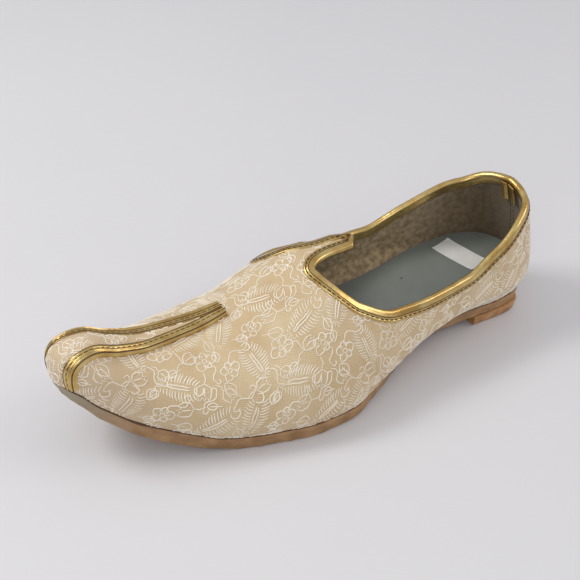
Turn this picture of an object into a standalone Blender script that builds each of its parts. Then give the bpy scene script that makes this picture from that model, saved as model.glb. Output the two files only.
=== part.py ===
"""Mojari slip-on shoe for the left foot: hollow brocade upper, bound throat, toe band, insole, sole and heel.

Toe along +X, the shoe's left along +Y, up +Z, in metres. The pieces are drawn from the back of the heel
at x = 0 and hang on an empty that brings the middle of the model's base to the origin.
"""

import math
from collections import namedtuple

import bmesh
import bpy
from mathutils import Vector
from mathutils.bvhtree import BVHTree

LEFT = 1
RIGHT = -1

# Driving sizes
LENGTH = 0.290
BALL_WIDTH = 0.100
THROAT_HEIGHT = 0.080
WALL = 0.0022
CLEARANCE = 0.0003

# Sole: its edge stands out past the foot line, and its side runs in towards the floor
SOLE_EDGE = 0.0014
SOLE_UNDERCUT = 0.0012

# Heel block under the back of the sole
HEEL_LENGTH = 0.0380
HEEL_SETBACK = 0.0002
HEEL_ROUND = 0.0200
HEEL_SQUARENESS = 0.62
HEEL_REAR_TAPER = 0.0020
HEEL_SIDE_TAPER = 0.0008

# Throat: a tab with a blunt point between two scallops, placed along the shoe. The point runs back from
# a shoulder on each side.
TAB_END = 0.398 * LENGTH
TAB_ROOT = 0.445 * LENGTH
SCALLOP_START = 0.448 * LENGTH
SCALLOP_TIPS = {LEFT: 0.506 * LENGTH, RIGHT: 0.548 * LENGTH}
TAB_HALF_WIDTH = 0.0062
TAB_BLUNTNESS = 0.1
TAB_SHOULDERS = {LEFT: 0.0034, RIGHT: 0.0090}
SCALLOP_HALF_WIDTHS = {LEFT: 0.0142, RIGHT: 0.0260}

# Bound edge of the throat
BINDING_THICKNESS = 0.0008
BINDING_FLANGE = 0.0050
BINDING_GAP = 0.0005

# Raised band over the toe
BAND_END = 0.667 * LENGTH
BAND_GAP = 0.0004
BAND_THICKNESS = 0.0018
BAND_FOOT_HALF_WIDTH = 0.0138
BAND_END_HALF_WIDTH = 0.0052
TRIM_WIDTH = 0.0064
TRIM_FOOT_WIDTH = 0.0042
TRIM_FLAT = 0.0021
TRIM_ROLL = 0.0029
INSERT_START = 0.16

# Insole and the plain label on its heel
INSOLE_GAP = 0.0012
INSOLE_TOE_PLACE = 13.2
LABEL_LENGTH = 0.031
LABEL_WIDTH = 0.014
LABEL_THICKNESS = 0.0004
LABEL_ALONG = 0.1155 * LENGTH
LABEL_ACROSS = -0.065 * BALL_WIDTH
LABEL_TURN = 13

# Folded ends of the binding inside the heel
TAIL_TURN = 0.36
TAIL_DROP = 0.0125
TAIL_START = 0.0005
TAIL_THICKNESS = 0.0009

# Half sections of the last, from the back of the heel to the tip of the toe. Each starts on the middle
# line and runs outwards, turned forwards by turn degrees. The shares are of LENGTH along the shoe, of
# BALL_WIDTH for a reach and of THROAT_HEIGHT for a height; pulls are the handles of the curves.
# The rims are read from the heel to the start of the scallops.
Section = namedtuple(
    "Section",
    "along turn foot_left foot_right wide_left wide_right wide_height top_height side_pull top_pull "
    "rim_left rim_right foot_pull",
)
SECTIONS = (
    Section(0.131, -90, 0.325, 0.325, 0.390, 0.390, 0.375, 1.460, 0.55, 0.55, 0.965, 0.965, 0.30),
    Section(0.131, -60, 0.342, 0.325, 0.400, 0.378, 0.375, 1.430, 0.55, 0.55, 0.930, 0.928, 0.30),
    Section(0.131, -30, 0.268, 0.255, 0.366, 0.336, 0.375, 1.400, 0.55, 0.55, 0.850, 0.858, 0.30),
    Section(0.131, 0, 0.235, 0.225, 0.350, 0.315, 0.375, 1.370, 0.55, 0.55, 0.732, 0.836, 0.30),
    Section(0.207, 0, 0.232, 0.230, 0.372, 0.345, 0.375, 1.250, 0.55, 0.55, 0.610, 0.730, 0.30),
    Section(0.293, 0, 0.262, 0.260, 0.420, 0.385, 0.350, 1.100, 0.50, 0.55, 0.598, 0.598, 0.30),
    Section(0.379, 0, 0.390, 0.310, 0.488, 0.420, 0.290, 0.950, 0.42, 0.50, 0.610, 0.606, 0.35),
    Section(0.448, 0, 0.495, 0.360, 0.545, 0.445, 0.245, 0.937, 0.40, 0.50, 0.716, 0.725, 0.50),
    Section(0.505, 0, 0.560, 0.395, 0.590, 0.455, 0.220, 0.935, 0.42, 0.52, 0.900, 0.900, 0.75),
    Section(0.569, 0, 0.565, 0.415, 0.595, 0.460, 0.215, 0.846, 0.44, 0.52, 0.900, 0.900, 0.75),
    Section(0.655, 0, 0.515, 0.420, 0.550, 0.455, 0.215, 0.698, 0.46, 0.52, 0.900, 0.900, 0.75),
    Section(0.741, 0, 0.435, 0.390, 0.475, 0.420, 0.245, 0.662, 0.48, 0.52, 0.900, 0.900, 0.75),
    Section(0.821, 0, 0.342, 0.310, 0.375, 0.335, 0.350, 0.672, 0.50, 0.54, 0.900, 0.900, 0.75),
    Section(0.883, 0, 0.262, 0.245, 0.280, 0.260, 0.460, 0.735, 0.52, 0.58, 0.900, 0.900, 0.75),
    Section(0.931, 0, 0.182, 0.192, 0.197, 0.205, 0.580, 0.815, 0.58, 0.66, 0.900, 0.900, 0.75),
    Section(0.931, 30, 0.160, 0.185, 0.170, 0.193, 0.622, 0.815, 0.62, 0.70, 0.900, 0.900, 0.75),
    Section(0.931, 60, 0.158, 0.180, 0.164, 0.185, 0.660, 0.815, 0.62, 0.72, 0.900, 0.900, 0.75),
    Section(0.931, 90, 0.160, 0.160, 0.164, 0.164, 0.680, 0.815, 0.62, 0.72, 0.900, 0.900, 0.75),
)
HEEL_SIDE = 3.0
TOE_SIDE = 14.0
TOE_TIP = 17.0

# Foot line of the upper, thickness of the sole and top of the insole along the shoe, as shares of
# LENGTH and of THROAT_HEIGHT. The sole lies flat on the floor where its thickness equals the foot line.
Bed = namedtuple("Bed", "along foot_height sole_thickness insole_height")
BEDS = (
    Bed(0.000, 0.173, 0.085, 0.385),
    Bed(0.155, 0.173, 0.085, 0.365),
    Bed(0.207, 0.170, 0.085, 0.330),
    Bed(0.276, 0.163, 0.085, 0.270),
    Bed(0.359, 0.150, 0.088, 0.215),
    Bed(0.431, 0.133, 0.095, 0.185),
    Bed(0.500, 0.112, 0.100, 0.163),
    Bed(0.565, 0.105, 0.105, 0.155),
    Bed(0.710, 0.105, 0.105, 0.155),
    Bed(0.750, 0.122, 0.101, 0.170),
    Bed(0.795, 0.178, 0.118, 0.225),
    Bed(0.852, 0.262, 0.120, 0.310),
    Bed(0.897, 0.342, 0.112, 0.385),
    Bed(0.938, 0.450, 0.108, 0.480),
    Bed(0.965, 0.550, 0.100, 0.550),
    Bed(1.000, 0.615, 0.082, 0.595),
)

# Mesh density of the upper
LOWER_STEPS = 3
UPPER_STEPS = 5
TOP_STEPS = 4
SCALLOP_SHARES = (0.3, 0.55, 0.75, 0.88, 0.96, 0.99, 1.0)
SEARCH_STEPS = 40

# Colour, roughness and metallic value of each piece
FINISHES = {
    "upper": ((0.60, 0.45, 0.26, 1.0), 0.55, 0.0),
    "collar_binding": ((0.68, 0.43, 0.08, 1.0), 0.25, 1.0),
    "toe_band": ((0.62, 0.48, 0.28, 1.0), 0.55, 0.0),
    "toe_trim_left": ((0.68, 0.43, 0.08, 1.0), 0.25, 1.0),
    "toe_trim_right": ((0.68, 0.43, 0.08, 1.0), 0.25, 1.0),
    "back_tail": ((0.55, 0.36, 0.08, 1.0), 0.30, 1.0),
    "insole": ((0.12, 0.14, 0.12, 1.0), 0.70, 0.0),
    "insole_label": ((0.80, 0.80, 0.78, 1.0), 0.80, 0.0),
    "outsole": ((0.50, 0.28, 0.13, 1.0), 0.60, 0.0),
    "heel_block": ((0.45, 0.24, 0.10, 1.0), 0.60, 0.0),
}


def spread(start, end, count):
    """Evenly spaced values from start to end, both included."""
    return [start + (end - start) * i / count for i in range(count + 1)]


def bisect(is_below, low, high):
    """Place between low and high where a test stops being true."""
    for _ in range(SEARCH_STEPS):
        middle = (low + high) / 2
        if is_below(middle):
            low = middle
        else:
            high = middle
    return (low + high) / 2


def smooth(places, values, place):
    """Value of a smooth curve through the table's points that never overshoots them."""
    if place <= places[0]:
        return values[0]
    if place >= places[-1]:
        return values[-1]
    slopes = [(values[j + 1] - values[j]) / (places[j + 1] - places[j]) for j in range(len(places) - 1)]

    def tangent(j):
        if j in (0, len(places) - 1):
            return slopes[min(j, len(slopes) - 1)]
        before, after = slopes[j - 1], slopes[j]
        return 2 * before * after / (before + after) if before * after > 0 else 0.0

    i = max(j for j in range(len(places) - 1) if places[j] <= place)
    span = places[i + 1] - places[i]
    t = (place - places[i]) / span
    rise = values[i + 1] - values[i]
    start, end = tangent(i) * span, tangent(i + 1) * span
    return values[i] + t * start + t * t * (3 * rise - 2 * start - end) + t**3 * (start + end - 2 * rise)


def section_stations():
    """Distance travelled round the last at each row of the section table, in metres."""
    stations = [0.0]
    for a, b in zip(SECTIONS, SECTIONS[1:]):
        arc = math.radians(b.turn - a.turn) * (a.wide_left + b.wide_left) / 2 * BALL_WIDTH
        stations.append(stations[-1] + (b.along - a.along) * LENGTH + arc)
    return stations


STATIONS = section_stations()


def column(name, place):
    """A column of the section table at a place counted in rows."""
    i = min(int(place), len(SECTIONS) - 2)
    values = [getattr(row, name) for row in SECTIONS]
    if name in ("along", "turn"):
        return values[i] + (values[i + 1] - values[i]) * (place - i)
    station = STATIONS[i] + (STATIONS[i + 1] - STATIONS[i]) * (place - i)
    return smooth(STATIONS, values, station)


def bed(name, x):
    """A column of the bed table, in metres, at a distance from the back of the heel."""
    share = smooth([row.along for row in BEDS], [getattr(row, name) for row in BEDS], x / LENGTH)
    return share * THROAT_HEIGHT


def bezier(points, t):
    """Point on a flat cubic curve given by its four points."""
    weights = ((1 - t) ** 3, 3 * t * (1 - t) ** 2, 3 * t * t * (1 - t), t**3)
    return tuple(sum(w * p[axis] for w, p in zip(weights, points)) for axis in range(2))


def profile(side, place, v):
    """Reach and height on a half section: v runs 0 to 1 up to the widest point and 1 to 2 on to the top."""
    hand = "left" if side == LEFT else "right"
    foot = column("foot_" + hand, place) * BALL_WIDTH
    wide = column("wide_" + hand, place) * BALL_WIDTH
    lean = math.sin(math.radians(column("turn", place)))
    foot_height = bed("foot_height", column("along", place) * LENGTH + foot * lean)
    wide_height = column("wide_height", place) * THROAT_HEIGHT
    top_height = column("top_height", place) * THROAT_HEIGHT
    if v <= 1:
        rise = wide_height - foot_height
        pull = column("foot_pull", place)
        start = (foot + (wide - foot) * pull, foot_height + rise * 0.22)
        end = (wide, wide_height - rise * pull * 0.6)
        return bezier(((foot, foot_height), start, end, (wide, wide_height)), v)
    start = (wide, wide_height + (top_height - wide_height) * column("side_pull", place))
    end = (wide * column("top_pull", place), top_height)
    return bezier(((wide, wide_height), start, end, (0.0, top_height)), v - 1)


def place_point(side, place, reach, height):
    """World point at a reach and a height on a half section."""
    turn = math.radians(column("turn", place))
    x = column("along", place) * LENGTH + reach * math.sin(turn)
    return Vector((x, side * reach * math.cos(turn), height))


def surface(side, place, v):
    """Point on the outside of the upper."""
    return place_point(side, place, *profile(side, place, v))


def outside(side, place, v):
    """Point and outward direction on the outside of the upper."""
    step = 0.02
    along = surface(side, min(place + step, TOE_TIP), v) - surface(side, max(place - step, 0.0), v)
    across = surface(side, place, v + step) - surface(side, place, max(v - step, 0.0))
    return surface(side, place, v), along.cross(across).normalized() * -side


def v_at_reach(side, place, reach):
    """Place v above the widest point where a section has a reach."""
    return bisect(lambda v: profile(side, place, v)[0] > reach, 1.0, 2.0)


def v_at_height(side, place, height):
    """Place v above the widest point where a section has a height."""
    return bisect(lambda v: profile(side, place, v)[1] < height, 1.0, 2.0)


def row_at(x):
    """Place in rows of the section that stands square across the shoe at x."""
    return bisect(lambda place: column("along", place) * LENGTH < x, HEEL_SIDE, TOE_SIDE)


def foot_reach(side, place):
    """Reach of the foot line of the upper."""
    return profile(side, place, 0.0)[0]


def rim_height(side, place):
    """Height of the throat's edge on the side of the foot."""
    return column("rim_left" if side == LEFT else "rim_right", place) * THROAT_HEIGHT


def rim_v(side, place):
    """Place v of the throat's edge on the side of the foot."""
    tip = SCALLOP_TIPS[side]
    x = column("along", place) * LENGTH
    if x <= SCALLOP_START:
        return v_at_height(side, place, rim_height(side, place))
    start = row_at(SCALLOP_START)
    start_v = v_at_height(side, start, rim_height(side, start))
    start_reach = profile(side, start, start_v)[0]
    t = min(1.0, (x - SCALLOP_START) / (tip - SCALLOP_START))
    tip_reach = SCALLOP_HALF_WIDTHS[side]
    reach = tip_reach + (start_reach - tip_reach) * (1 - t**1.3) ** 0.7
    return v_at_reach(side, place, reach)


def tab_half_width(side, x):
    """Half width of the tab, which widens from its point to its shoulders and on to the scallops' tips."""
    point = min(1.0, TAB_BLUNTNESS + (1 - TAB_BLUNTNESS) * (x - TAB_END) / TAB_SHOULDERS[side])
    t = min(1.0, max(0.0, (x - TAB_ROOT) / (SCALLOP_TIPS[side] - TAB_ROOT)))
    flare = 1 - math.sqrt(1 - t * t)
    return TAB_HALF_WIDTH * point + (SCALLOP_HALF_WIDTHS[side] - TAB_HALF_WIDTH) * flare


def side_places(side):
    """Places of the sections from the back of the heel to the tip of the scallop."""
    heel = spread(0.0, HEEL_SIDE, 9)
    pivot = column("along", HEEL_SIDE) * LENGTH
    quarter = [row_at(x) for x in spread(pivot, SCALLOP_START, 12)[1:]]
    run = SCALLOP_TIPS[side] - SCALLOP_START
    return heel + quarter + [row_at(SCALLOP_START + run * share) for share in SCALLOP_SHARES]


def ridge_stations():
    """Distances from the heel of the sections that meet on the ridge, from the tab's end to the toe."""
    stations = {TAB_END, TAB_ROOT}
    stations.update(TAB_END + shoulder * share for shoulder in TAB_SHOULDERS.values() for share in (0.5, 1.0))
    for tip in SCALLOP_TIPS.values():
        stations.update(TAB_ROOT + (tip - TAB_ROOT) * share for share in SCALLOP_SHARES)
    stations.update(spread(max(SCALLOP_TIPS.values()), column("along", TOE_SIDE) * LENGTH, 17))
    return sorted(stations)


def front_places(side):
    """Places of the sections from the tip of the scallop to the tip of the toe."""
    vamp = [row_at(x) for x in ridge_stations() if x >= SCALLOP_TIPS[side]]
    vamp[-1] = TOE_SIDE
    return vamp + spread(TOE_SIDE, TOE_TIP, 7)[1:]


def all_places():
    """Places of the sections of both sides, for the pieces under the foot."""
    places = set()
    for side in (LEFT, RIGHT):
        places.update(side_places(side) + front_places(side)[1:])
    return sorted(places)


def wall_steps(top):
    """Values of v up a section, from the foot line over the widest point to a given end."""
    return spread(0.0, 1.0, LOWER_STEPS) + spread(1.0, top, UPPER_STEPS)[1:]


def outer_skin():
    """Points and quads of the outside of the upper."""
    points, faces = [], []
    for side in (LEFT, RIGHT):
        tip = row_at(SCALLOP_TIPS[side])
        tip_v = v_at_reach(side, tip, SCALLOP_HALF_WIDTHS[side])
        rear = []
        for place in side_places(side)[:-1]:
            rear.append([surface(side, place, v) for v in wall_steps(rim_v(side, place))])
        rear.append([surface(side, tip, v) for v in wall_steps(tip_v)])
        front_steps = wall_steps(tip_v) + spread(tip_v, 2.0, TOP_STEPS)[1:]
        front = [[surface(side, place, v) for v in front_steps] for place in front_places(side)]
        tab = []
        for x in (x for x in ridge_stations() if x < SCALLOP_TIPS[side]):
            place = row_at(x)
            edge = v_at_reach(side, place, tab_half_width(side, x))
            tab.append([surface(side, place, v) for v in spread(edge, 2.0, TOP_STEPS)])
        tab.append([surface(side, tip, v) for v in spread(tip_v, 2.0, TOP_STEPS)])
        for rows in (rear, front, tab):
            faces += grid_faces(len(points), len(rows), len(rows[0]), side == LEFT)
            points += [p for row in rows for p in row]
    return points, faces


def grid_faces(start, rows, columns, flip):
    """Quads of a grid of points, row by row."""
    faces = []
    for i in range(rows - 1):
        for j in range(columns - 1):
            a = start + i * columns + j
            quad = (a, a + columns, a + columns + 1, a + 1)
            faces.append(quad[::-1] if flip else quad)
    return faces


def add_mesh(name, points, faces, collection, closed=True):
    """New piece from points and faces, its doubles welded."""
    work = bmesh.new()
    corners = [work.verts.new(point) for point in points]
    for face in faces:
        work.faces.new([corners[k] for k in face])
    bmesh.ops.remove_doubles(work, verts=work.verts, dist=0.00001)
    bmesh.ops.dissolve_degenerate(work, edges=work.edges, dist=0.000001)
    if closed:
        bmesh.ops.recalc_face_normals(work, faces=work.faces)
    mesh = bpy.data.meshes.new(name)
    work.to_mesh(mesh)
    work.free()
    mesh.shade_smooth()
    mesh.set_sharp_from_angle(angle=math.radians(40))
    obj = bpy.data.objects.new(name, mesh)
    obj.data.materials.append(finish(name))
    collection.objects.link(obj)
    return obj


def finish(name):
    """Material of a piece."""
    colour, roughness, metallic = FINISHES[name]
    material = bpy.data.materials.new(name)
    material.use_nodes = True
    shader = material.node_tree.nodes["Principled BSDF"]
    shader.inputs["Base Color"].default_value = colour
    shader.inputs["Roughness"].default_value = roughness
    shader.inputs["Metallic"].default_value = metallic
    return material


def ring_loft(name, rings, collection, closed=False):
    """Solid through rings of points, joined end to end where closed, or else capped."""
    count = len(rings[0])
    faces = []
    for i in range(len(rings) if closed else len(rings) - 1):
        a, b = i * count, ((i + 1) % len(rings)) * count
        for j in range(count):
            k = (j + 1) % count
            faces.append((a + j, b + j, b + k, a + k))
    if not closed:
        last = (len(rings) - 1) * count
        faces.append(tuple(range(count))[::-1])
        faces.append(tuple(range(last, last + count)))
    return add_mesh(name, [p for ring in rings for p in ring], faces, collection)


def build_upper(collection):
    """Hollow upper: the outside as an open surface, given its wall inwards."""
    upper = add_mesh("upper", *outer_skin(), collection, closed=False)
    wall = upper.modifiers.new("Wall", "SOLIDIFY")
    wall.thickness = WALL
    wall.offset = -1
    wall.use_quality_normals = True


def foot_ring(left, right, middle_top, middle_base):
    """Ring across the shoe: up the left edge, over the top, down the right edge and back underneath."""
    over = [(left[-1] + middle_top) / 2, middle_top, (right[-1] + middle_top) / 2]
    under = [(right[0] + middle_base) / 2, middle_base, (left[0] + middle_base) / 2]
    return left + over + right[::-1] + under


def build_outsole(collection):
    """Sole with its waist and toe spring, closing the upper from below."""
    rings = []
    for place in all_places():
        edges = []
        for side in (LEFT, RIGHT):
            reach = foot_reach(side, place) + SOLE_EDGE
            low = place_point(side, place, reach - SOLE_UNDERCUT, 0)
            high = place_point(side, place, reach, 0)
            low.z = bed("foot_height", low.x) - bed("sole_thickness", low.x)
            high.z = bed("foot_height", high.x) - CLEARANCE
            edges.append([low, high])
        middle = place_point(LEFT, place, 0, 0)
        foot, thickness = bed("foot_height", middle.x), bed("sole_thickness", middle.x)
        top = Vector((middle.x, 0, foot - CLEARANCE))
        base = Vector((middle.x, 0, foot - thickness))
        rings.append(foot_ring(*edges, top, base))
    ring_loft("outsole", rings, collection)


def inner_profile(side, place, v, depth):
    """Reach and height of a line inside the upper, a depth in from its outside."""
    step = 0.001
    low, high = profile(side, place, max(0.0, v - step)), profile(side, place, v + step)
    run, rise = high[0] - low[0], high[1] - low[1]
    size = math.hypot(run, rise)
    reach, height = profile(side, place, v)
    return reach - depth * rise / size, height + depth * run / size


def inner_reach(side, place, height, depth):
    """Reach inside the upper at a height, a depth in from its outside, clear of the wall's lower edge."""
    corner_reach, corner_height = inner_profile(side, place, 0.0, depth)
    if height <= corner_height:
        return min(foot_reach(side, place) - CLEARANCE, corner_reach) - INSOLE_GAP
    v = bisect(lambda v: inner_profile(side, place, v, depth)[1] < height, 0.0, 1.9)
    return inner_profile(side, place, v, depth)[0]


def build_insole(collection):
    """Footbed inside the upper, its edge following the inner wall."""
    depth = WALL + INSOLE_GAP
    rings = []
    for place in (p for p in all_places() if p <= INSOLE_TOE_PLACE):
        edges = []
        for side in (LEFT, RIGHT):
            edge = []
            for level in range(4):
                reach = 0.0
                for _ in range(3):
                    x = place_point(side, place, reach, 0).x
                    low, high = bed("foot_height", x) + CLEARANCE, bed("insole_height", x)
                    ledge = min(high, inner_profile(side, place, 0.0, depth)[1])
                    height = (low, ledge, (ledge + high) / 2, high)[level]
                    reach = inner_reach(side, place, height, depth)
                edge.append(place_point(side, place, reach, height))
            edges.append(edge)
        middle = place_point(LEFT, place, 0, 0)
        top = Vector((middle.x, 0, bed("insole_height", middle.x)))
        base = Vector((middle.x, 0, bed("foot_height", middle.x) + CLEARANCE))
        rings.append(foot_ring(*edges, top, base))
    ring_loft("insole", rings, collection)


def build_label(collection):
    """Plain woven label lying on the heel of the insole."""
    turn = math.radians(LABEL_TURN)
    rings = []
    for a in spread(-LABEL_WIDTH / 2, LABEL_WIDTH / 2, 4):
        low = []
        for b in spread(-LABEL_LENGTH / 2, LABEL_LENGTH / 2, 5):
            x = LABEL_ALONG + a * math.cos(turn) - b * math.sin(turn)
            y = LABEL_ACROSS + a * math.sin(turn) + b * math.cos(turn)
            low.append(Vector((x, y, bed("insole_height", x) + CLEARANCE)))
        high = [point + Vector((0, 0, LABEL_THICKNESS)) for point in low]
        rings.append(high + low[::-1])
    ring_loft("insole_label", rings, collection)


def build_heel(collection):
    """Low heel block with a straight breast, a squarish round back and a back edge cut in at the floor."""
    height = bed("foot_height", 0) - bed("sole_thickness", 0) - CLEARANCE
    half_width = (foot_reach(LEFT, HEEL_SIDE) + foot_reach(RIGHT, HEEL_SIDE)) / 2 + SOLE_EDGE
    back = column("along", 0.0) * LENGTH - foot_reach(LEFT, 0.0) - SOLE_EDGE + HEEL_SETBACK
    front = back + HEEL_LENGTH

    def outline(rear, narrowing, z):
        half = half_width - narrowing
        points = [Vector((front, half, z))]
        for angle in spread(90, -90, 14):
            c, s = math.cos(math.radians(angle)), math.sin(math.radians(angle))
            x = rear + HEEL_ROUND * (1 - abs(c) ** HEEL_SQUARENESS)
            points.append(Vector((x, half * math.copysign(abs(s) ** HEEL_SQUARENESS, s), z)))
        return points + [Vector((front, -half, z))]

    floor = outline(back + HEEL_REAR_TAPER, 2 * HEEL_SIDE_TAPER, 0.0)
    lower = outline(back + HEEL_REAR_TAPER * 0.6, HEEL_SIDE_TAPER, height * 0.2)
    ring_loft("heel_block", [floor, lower, outline(back, 0.0, height)], collection)


def throat_edge():
    """Points round the throat, tab end first, with their outward directions and flange widths."""
    halves = []
    for side in (LEFT, RIGHT):
        half = []
        for x in (x for x in ridge_stations() if x <= SCALLOP_TIPS[side]):
            place, half_width = row_at(x), tab_half_width(side, x)
            spot = outside(side, place, v_at_reach(side, place, half_width))
            half.append((*spot, min(BINDING_FLANGE, half_width - CLEARANCE)))
        for place in side_places(side)[-2::-1]:
            half.append((*outside(side, place, rim_v(side, place)), BINDING_FLANGE))
        halves.append(half)
    left, right = halves
    middle = (surface(LEFT, row_at(TAB_END), 2.0), Vector((0, 0, 1)), TAB_HALF_WIDTH - CLEARANCE)
    return [middle] + left + right[-2::-1]


def build_binding(collection, tree):
    """Bound edge of the throat: a strip folded over the wall, with a flange on each face."""
    near, far_face = BINDING_GAP, BINDING_GAP + BINDING_THICKNESS
    edge = throat_edge()
    rings = []
    for i, (point, normal, width) in enumerate(edge):
        ahead, behind = edge[(i + 1) % len(edge)][0], edge[i - 1][0]
        tangent = (ahead - point).normalized() + (point - behind).normalized()
        into = tangent.cross(normal).normalized()
        line = [(point, normal)]
        for share in (0.5, 1.0):
            found, facing, _, _ = tree.find_nearest(point + into * width * share)
            facing = facing if facing.dot(normal) > 0 else -facing
            line.append((found, (facing + normal * 0.5).normalized()))
        outer = [spot + up * far_face for spot, up in line]
        crown = [
            point - into * far_face * 0.75 + normal * far_face * 0.55,
            point - into * far_face - normal * WALL * 0.5,
            point - into * far_face * 0.75 - normal * (WALL + far_face * 0.55),
        ]
        inner = [spot - up * (WALL + far_face) for spot, up in line]
        under = [spot - up * (WALL + near) for spot, up in line]
        under[0] -= into * near
        over = [spot + up * near for spot, up in line]
        over[0] -= into * near
        rings.append(outer[::-1] + crown + inner + under[::-1] + over)
    ring_loft("collar_binding", rings, collection, closed=True)


def build_tail(collection):
    """Folded ends of the binding, lying on the inner wall at the back of the heel."""
    lift = WALL + BINDING_GAP + BINDING_THICKNESS + CLEARANCE
    half = TAIL_TURN / 2
    spots = [(RIGHT, TAIL_TURN), (RIGHT, half), (LEFT, 0.0), (LEFT, half), (LEFT, TAIL_TURN)]
    rings = []
    for drop in spread(TAIL_START, TAIL_DROP, 4):
        wall = []
        for side, place in spots:
            height = rim_height(side, place) - drop
            wall.append(outside(side, place, v_at_height(side, place, height)))
        near = [point - normal * lift for point, normal in wall]
        far = [point - normal * (lift + TAIL_THICKNESS) for point, normal in wall]
        rings.append(near + far[::-1])
    ring_loft("back_tail", rings, collection)


def ridge_path():
    """Points down the middle of the vamp and over the nose, with outward directions and shares of the way."""
    crest = spread(BAND_END, column("along", TOE_SIDE) * LENGTH, 21)
    points = [surface(LEFT, min(row_at(x), TOE_SIDE), 2.0) for x in crest]
    points += [surface(LEFT, TOE_TIP, v) for v in spread(1.94, 1.0, 14) + [0.7, 0.4, 0.13]]
    travelled = [0.0]
    for a, b in zip(points, points[1:]):
        travelled.append(travelled[-1] + (b - a).length)
    path = []
    for i, point in enumerate(points):
        ahead, behind = points[min(i + 1, len(points) - 1)], points[max(i - 1, 0)]
        tangent = (ahead - behind).normalized()
        path.append((point, Vector((-tangent.z, 0, tangent.x)), travelled[i] / travelled[-1]))
    return path


def drop_onto(tree, spot, normal):
    """Where a line against the outward direction meets the upper, or the nearest place on it."""
    found = tree.ray_cast(spot + normal * 0.02, -normal)[0]
    return found or tree.find_nearest(spot)[0]


def band_half_width(share):
    """Half width of the toe band from its end on the vamp to the foot of the nose."""
    return BAND_END_HALF_WIDTH + (BAND_FOOT_HALF_WIDTH - BAND_END_HALF_WIDTH) * share**0.8


def band_seam(share):
    """Offset of the line between the insert and a trim; the trims run together behind the insert."""
    trim_width = TRIM_WIDTH - (TRIM_WIDTH - TRIM_FOOT_WIDTH) * share**3
    return max(0.0, band_half_width(share) - trim_width)


def band_strip(name, collection, tree, offsets, heights, first=0.0):
    """Strip laid over the toe: offsets gives places across it, and heights those above the upper."""
    rings = []
    for point, normal, share in ridge_path():
        if share >= first:
            spots = [drop_onto(tree, point + Vector((0, y, 0)), normal) for y in offsets(share)]
            base = [spot + normal * BAND_GAP for spot in spots]
            top = [spot + normal * height for spot, height in zip(base, heights)]
            rings.append(top + base[::-1])
    ring_loft(name, rings, collection)


def build_band(collection, tree):
    """Raised band over the toe: a brocade insert between two gold trims."""
    gap = CLEARANCE / 2
    heights = (TRIM_FLAT, TRIM_FLAT, TRIM_FLAT, TRIM_ROLL)
    for name, side in (("toe_trim_left", LEFT), ("toe_trim_right", RIGHT)):

        def trim(share, side=side):
            return [side * y for y in spread(band_seam(share) + gap, band_half_width(share), 3)]

        band_strip(name, collection, tree, trim, heights)

    def insert(share):
        return spread(gap - band_seam(share), band_seam(share) - gap, 4)

    band_strip("toe_band", collection, tree, insert, (BAND_THICKNESS,) * 5, first=INSERT_START)


def stand_on_origin(collection):
    """Parents the pieces to an empty that brings the middle of their base to the origin."""
    graph = bpy.context.evaluated_depsgraph_get()
    corners = [Vector(c) for obj in collection.objects for c in obj.evaluated_get(graph).bound_box]
    low = [min(corner[axis] for corner in corners) for axis in range(3)]
    high = [max(corner[axis] for corner in corners) for axis in range(3)]
    stand = bpy.data.objects.new("mojari_stand", None)
    stand.location = (-(low[0] + high[0]) / 2, -(low[1] + high[1]) / 2, -low[2])
    for obj in list(collection.objects):
        obj.parent = stand
    collection.objects.link(stand)


def main():
    """Builds every piece of the shoe."""
    for obj in list(bpy.data.objects):
        bpy.data.objects.remove(obj)
    shoe = bpy.data.collections.new("mojari_shoe")
    bpy.context.scene.collection.children.link(shoe)
    build_upper(shoe)
    build_outsole(shoe)
    build_heel(shoe)
    build_insole(shoe)
    build_label(shoe)
    tree = BVHTree.FromPolygons(*outer_skin())
    build_binding(shoe, tree)
    build_tail(shoe)
    build_band(shoe, tree)
    stand_on_origin(shoe)


main()
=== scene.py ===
"""Dresses the left mojari: woven brocade upper, gold foil bindings, velvet lining, footbed and rubber sole.

Every piece is drawn from the same last as the solids, in metres, and then moved into the frame's place.
"""

import logging
import math
from collections import namedtuple
from collections.abc import Callable
from dataclasses import dataclass, field
from enum import Enum
from functools import lru_cache

import bmesh
import bpy
from mathutils import Matrix, Vector, noise
from mathutils.bvhtree import BVHTree
from mathutils.geometry import barycentric_transform


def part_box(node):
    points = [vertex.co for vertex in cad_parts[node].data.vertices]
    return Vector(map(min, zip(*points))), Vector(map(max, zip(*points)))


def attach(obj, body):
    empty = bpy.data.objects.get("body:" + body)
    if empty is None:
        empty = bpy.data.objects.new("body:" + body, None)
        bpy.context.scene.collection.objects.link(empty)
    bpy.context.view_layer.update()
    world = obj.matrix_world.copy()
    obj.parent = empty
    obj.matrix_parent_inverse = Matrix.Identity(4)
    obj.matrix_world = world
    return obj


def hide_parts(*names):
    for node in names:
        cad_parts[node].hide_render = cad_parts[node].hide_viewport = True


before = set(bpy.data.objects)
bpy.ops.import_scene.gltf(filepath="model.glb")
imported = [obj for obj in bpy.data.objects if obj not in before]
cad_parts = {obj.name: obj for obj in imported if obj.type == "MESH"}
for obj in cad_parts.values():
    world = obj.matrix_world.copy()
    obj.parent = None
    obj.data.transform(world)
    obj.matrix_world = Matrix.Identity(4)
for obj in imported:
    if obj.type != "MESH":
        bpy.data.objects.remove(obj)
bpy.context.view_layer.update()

log = logging.getLogger("mojari")
MM = 0.001


class Side(Enum):
    """Side of the shoe, with its sign along Y."""

    LEFT = 1
    RIGHT = -1


def spread(start: float, end: float, count: int) -> list[float]:
    """Evenly spaced values from start to end, both included."""
    return [start + (end - start) * i / count for i in range(count + 1)]


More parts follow.
